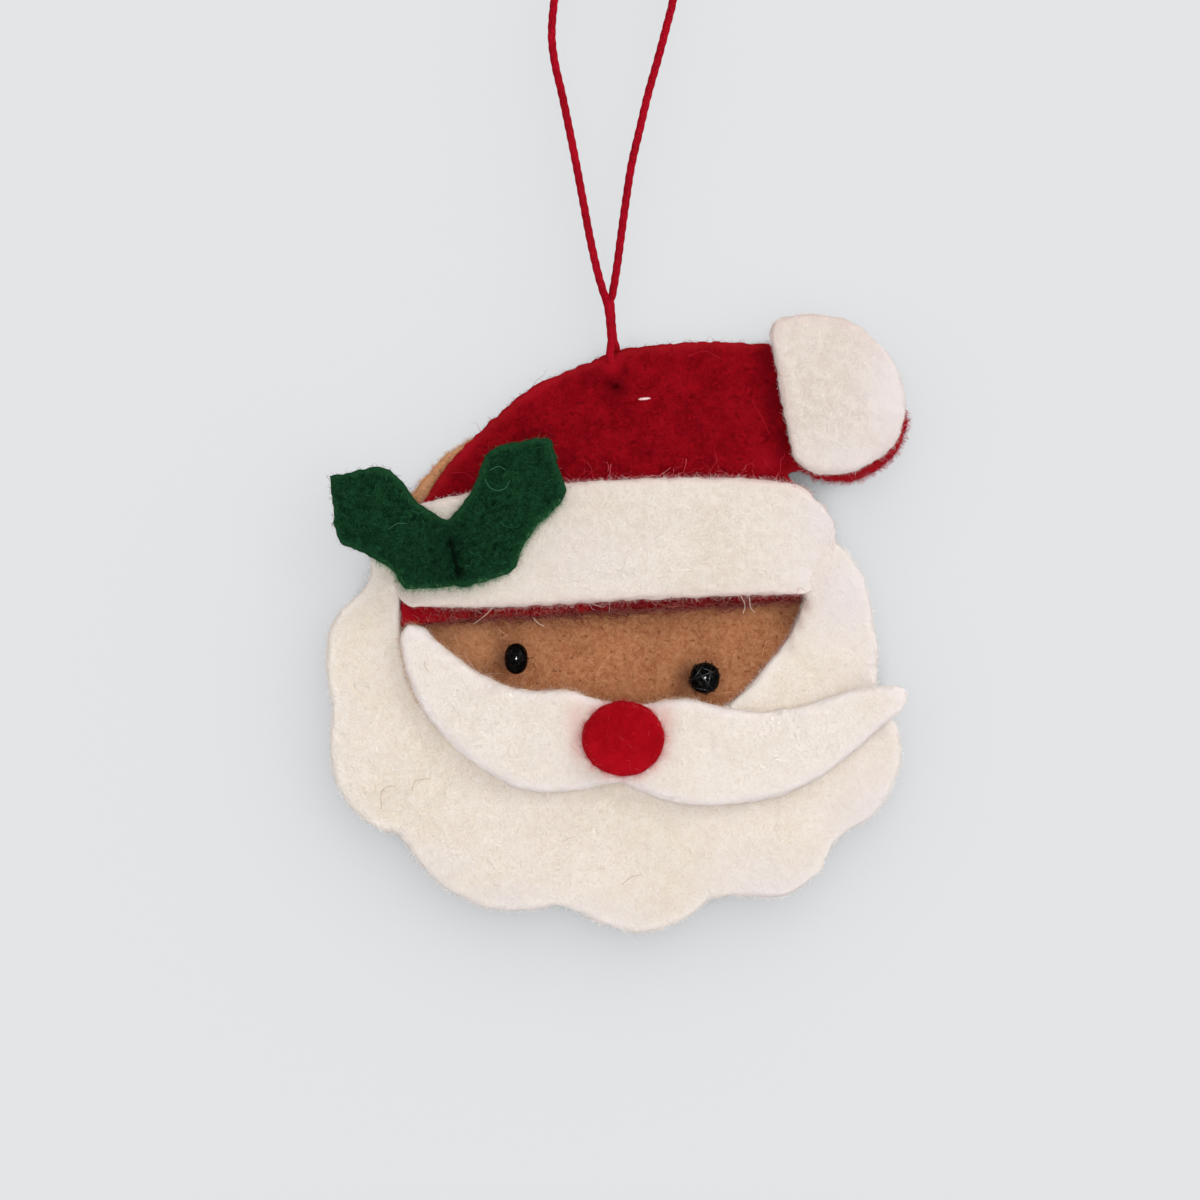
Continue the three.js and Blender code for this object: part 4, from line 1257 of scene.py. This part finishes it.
# Single stray hairs that catch the eye, as (across, up, depth) on the pattern
hairLay = {"diameter": 0.1 * mm, "plies": 2, "sides": 5, "groove": 0.0, "pitch": 5 * mm, "spacing": 0.2 * mm}
strayHairs = {
    "cream": [
        [(-19.9, -1.1, -1.5), (-21.4, -2.6, -1.6), (-23.2, -3.9, -0.6)],
        [(-13.6, -2.8, -1.2), (-12.8, -3.7, -0.6), (-11.8, -4.2, 0.4)],
        [(-43.4, -12.8, -1.4), (-41.8, -14.9, -1.7), (-40.2, -16.3, -1.4)],
        [(19.6, 0.6, -3.2), (20.3, -0.8, -2.4), (20.0, -2.2, -1.3)],
        [(21.0, 0.4, -3.2), (21.2, -1.2, -2.2), (21.9, -2.0, -1.3)],
    ],
    "fawn": [
        [(-37.9, -33.5, -1.3), (-37.6, -30.4, -1.6), (-34.6, -29.5, -1.3)],
        [(-33.0, -30.7, -1.3), (-32.5, -29.1, -1.6), (-29.9, -28.5, -1.3)],
        [(-8.8, -38.6, -1.3), (-7.6, -38.0, -1.5), (-6.7, -37.9, -1.3)],
        [(0.6, -45.6, -1.3), (2.2, -44.3, -1.6), (3.5, -44.0, -1.3)],
        [(-30.9, -9.8, -3.8), (-30.7, -10.8, -3.9), (-30.2, -11.5, -3.8)],
        [(25.3, 36.1, -3.8), (26.4, 35.7, -3.9), (27.5, 35.8, -3.8)],
        [(23.2, 4.8, -3.8), (23.6, 4.5, -3.9), (23.7, 4.1, -3.8)],
    ],
    "tan": [
        [(-19.5, -4.2, 1.2), (-18.4, -5.3, 0.9), (-17.6, -5.8, 1.2)],
        [(-26.2, -5.5, 1.2), (-25.9, -6.4, 0.9), (-25.4, -7.4, 1.2)],
    ],
    "red": [
        [(-27.0, 20.3, -1.3), (-24.5, 20.3, -1.7), (-22.7, 19.0, -1.3)],
        [(11.2, 39.0, -1.3), (13.8, 39.8, -1.8), (16.3, 38.7, -1.3)],
        [(21.4, 32.0, -1.3), (23.0, 29.1, -1.8), (24.3, 26.5, -1.3)],
        [(-6.6, 19.5, -1.3), (-4.8, 20.6, -1.9), (-3.4, 19.2, -2.6)],
        [(15.2, 20.4, -1.3), (17.0, 19.2, -1.9), (18.6, 20.6, -1.3)],
    ],
    "green": [
        [
            (-21.2, 19.2, -6.3), (-20.4, 17.9, -6.5), (-19.2, 17.4, -6.5),
            (-17.9, 17.8, -6.5), (-17.2, 19.0, -6.3),
        ],
        [(-20.4, 20.6, -6.3), (-19.0, 21.2, -6.5), (-17.8, 20.6, -6.3)],
        [(-36.5, 11.2, -6.3), (-35.2, 12.1, -6.5), (-33.6, 12.2, -6.3)],
    ],
}


def makeStrayHairs():
    for tone, routes in strayHairs.items():
        lines = [smoothLine([onPattern(*spot) for spot in route], hairLay["spacing"]) for route in routes]
        piece = strands(tone + "Hairs", lines, hairLay, strandPaint[tone][1])
        dress(piece, "ornament", "white_felt" if tone in ("fawn", "cream") else tone + "_felt")


makeStrayHairs()


# Stage: pale surroundings, a floor far below, and a card that only takes the soft shade behind the felt
stageForm = {
    "pale": (228, 229, 231),
    "skyLight": 0.68,
    "floorZ": -0.34,
    "floorHalf": 1.5,
    "floorColours": [(226, 227, 229), (231, 232, 234)],
    "floorMottle": 0.08,
    "floorFade": (0.4, 1.2),  # how far off it runs into the backdrop
    "cardY": 4.4 * mm,
    "cardHalf": 0.15,
    "cardHeights": (-0.28, 0.06),
    "shades": [  # reach, share and the way each soft shade faces
        {"reach": 20 * mm, "share": 0.12, "lean": (-0.65, -0.6, 0.5)},
        {"reach": 20 * mm, "share": 0.17, "lean": (0.7, -0.6, 0.45)},
        {"reach": 110 * mm, "share": 0.17, "lean": (0.5, -0.6, 0.6)},
    ],
    "samples": 8,
    "nook": {"reach": 12 * mm, "share": 0.5, "edge": (0.46, 0.8)},  # narrow gaps between the felts
    "behind": {"reach": 110 * mm, "edge": (0.6, 1.0)},  # no shade where a posed felt is behind the card
}


def seenRays(wire):  # 1 for what the camera sees, also in gloss and glass
    path = wire.node("ShaderNodeLightPath")
    names = ("Is Camera Ray", "Is Glossy Ray", "Is Transmission Ray")
    camera, glossy, glass = [Wire(wire.tree, path.socket.node.outputs[name]) for name in names]
    return camera.larger(glossy).larger(glass)


def makeWorld(form):
    world = bpy.data.worlds.new("paleRoom")
    scene.world = world
    world.use_nodes = True
    world.node_tree.nodes.clear()
    wire = Wire(world.node_tree)
    light = wire.node("ShaderNodeBackground", None, {"Color": (1, 1, 1, 1), "Strength": form["skyLight"]})
    shown = wire.node("ShaderNodeBackground", None, {"Color": tint(*form["pale"]), "Strength": 1.0})
    wire.node("ShaderNodeOutputWorld", None, {"Surface": seenRays(wire).mixed(light, shown)})


def makeFloor(form):
    half, z = form["floorHalf"], form["floorZ"]
    material, wire = newMaterial("paleFloor")
    place = wire.place()
    mottle = wire.noise(place, form["floorMottle"], 3.0).pick(*[tint(*tone) for tone in form["floorColours"]])
    lit = wire.node("ShaderNodeBsdfDiffuse", None, {"Color": mottle})
    shown = wire.node("ShaderNodeEmission", None, {"Color": tint(*form["pale"]), "Strength": 1.0})
    away = wire.node("ShaderNodeVectorMath", {"operation": "LENGTH"}, {0: place}, "Value")
    share = seenRays(wire) * (0.5 + away.step(*form["floorFade"]) * 0.5)
    wire.node("ShaderNodeOutputMaterial", None, {"Surface": share.mixed(lit, shown)})
    corners = [(-half, -half, z), (half, -half, z), (half, half, z), (-half, half, z)]
    newPiece("floor", meshOf("floor", corners, [(0, 1, 2, 3)], material))


def makeShadeCard(form):
    material, wire = newMaterial("shadeCard")

    def openness(reach, lean):  # 1 where nothing is near on that side of the card
        x, y, z = Vector(lean).normalized()
        facing = wire.node("ShaderNodeCombineXYZ", None, {"X": x, "Y": y, "Z": z})
        values = {"Distance": reach, "Normal": facing}
        return wire.node("ShaderNodeAmbientOcclusion", {"samples": form["samples"]}, values, "AO")

    nook, behind = form["nook"], form["behind"]
    shade = (1 - openness(nook["reach"], (0, -1, 0))).step(*nook["edge"]) * nook["share"]
    for soft in form["shades"]:
        shade = shade + (1 - openness(soft["reach"], soft["lean"])) * soft["share"]
    shade = shade * (1 - wire.node("ShaderNodeNewGeometry", output="Backfacing"))
    shade = shade * openness(behind["reach"], (0, 1, 0)).step(*behind["edge"])
    clear = wire.node("ShaderNodeBsdfTransparent")
    dark = wire.node("ShaderNodeEmission", None, {"Color": (0, 0, 0, 1), "Strength": 0.0})
    wire.node("ShaderNodeOutputMaterial", None, {"Surface": shade.mixed(clear, dark)})
    y, half, (low, high) = form["cardY"], form["cardHalf"], form["cardHeights"]
    corners = [(-half, y, low), (half, y, low), (half, y, high), (-half, y, high)]
    card = newPiece("shadeCard", meshOf("shadeCard", corners, [(0, 1, 2, 3)], material))
    for ray in ("diffuse", "glossy", "transmission", "volume_scatter", "shadow"):
        setattr(card, "visible_" + ray, False)


lamps = {
    "front": {"place": (0.02, -0.84, -0.1), "size": 0.3, "power": 1.5},
    "upperRight": {"place": (0.56, -0.4, 0.32), "size": 0.4, "power": 2.2},
    "lowerLeft": {"place": (-0.5, -0.35, -0.45), "size": 0.5, "power": 0.9},
    "back": {"place": (0.3, 0.8, 0.2), "size": 0.5, "power": 3.0},
    "glint": {"place": (0.02, -0.84, -0.1), "size": 0.18, "power": 550.0},  # only shows in shiny things
}


def makeLamps():
    centre = Vector((0, 0, cameraView["z"]))
    for name, form in lamps.items():
        light = bpy.data.lights.new(name, "AREA")
        light.shape = "DISK"
        light.size = form["size"]
        light.energy = form["power"]
        lamp = bpy.data.objects.new(name, light)
        lamp.location = form["place"]
        lamp.rotation_euler = (centre - lamp.location).to_track_quat("-Z", "Y").to_euler()
        lamp.visible_diffuse = name != "glint"
        scene.collection.objects.link(lamp)


makeWorld(stageForm)
makeFloor(stageForm)
makeShadeCard(stageForm)
makeLamps()
print("stage set")
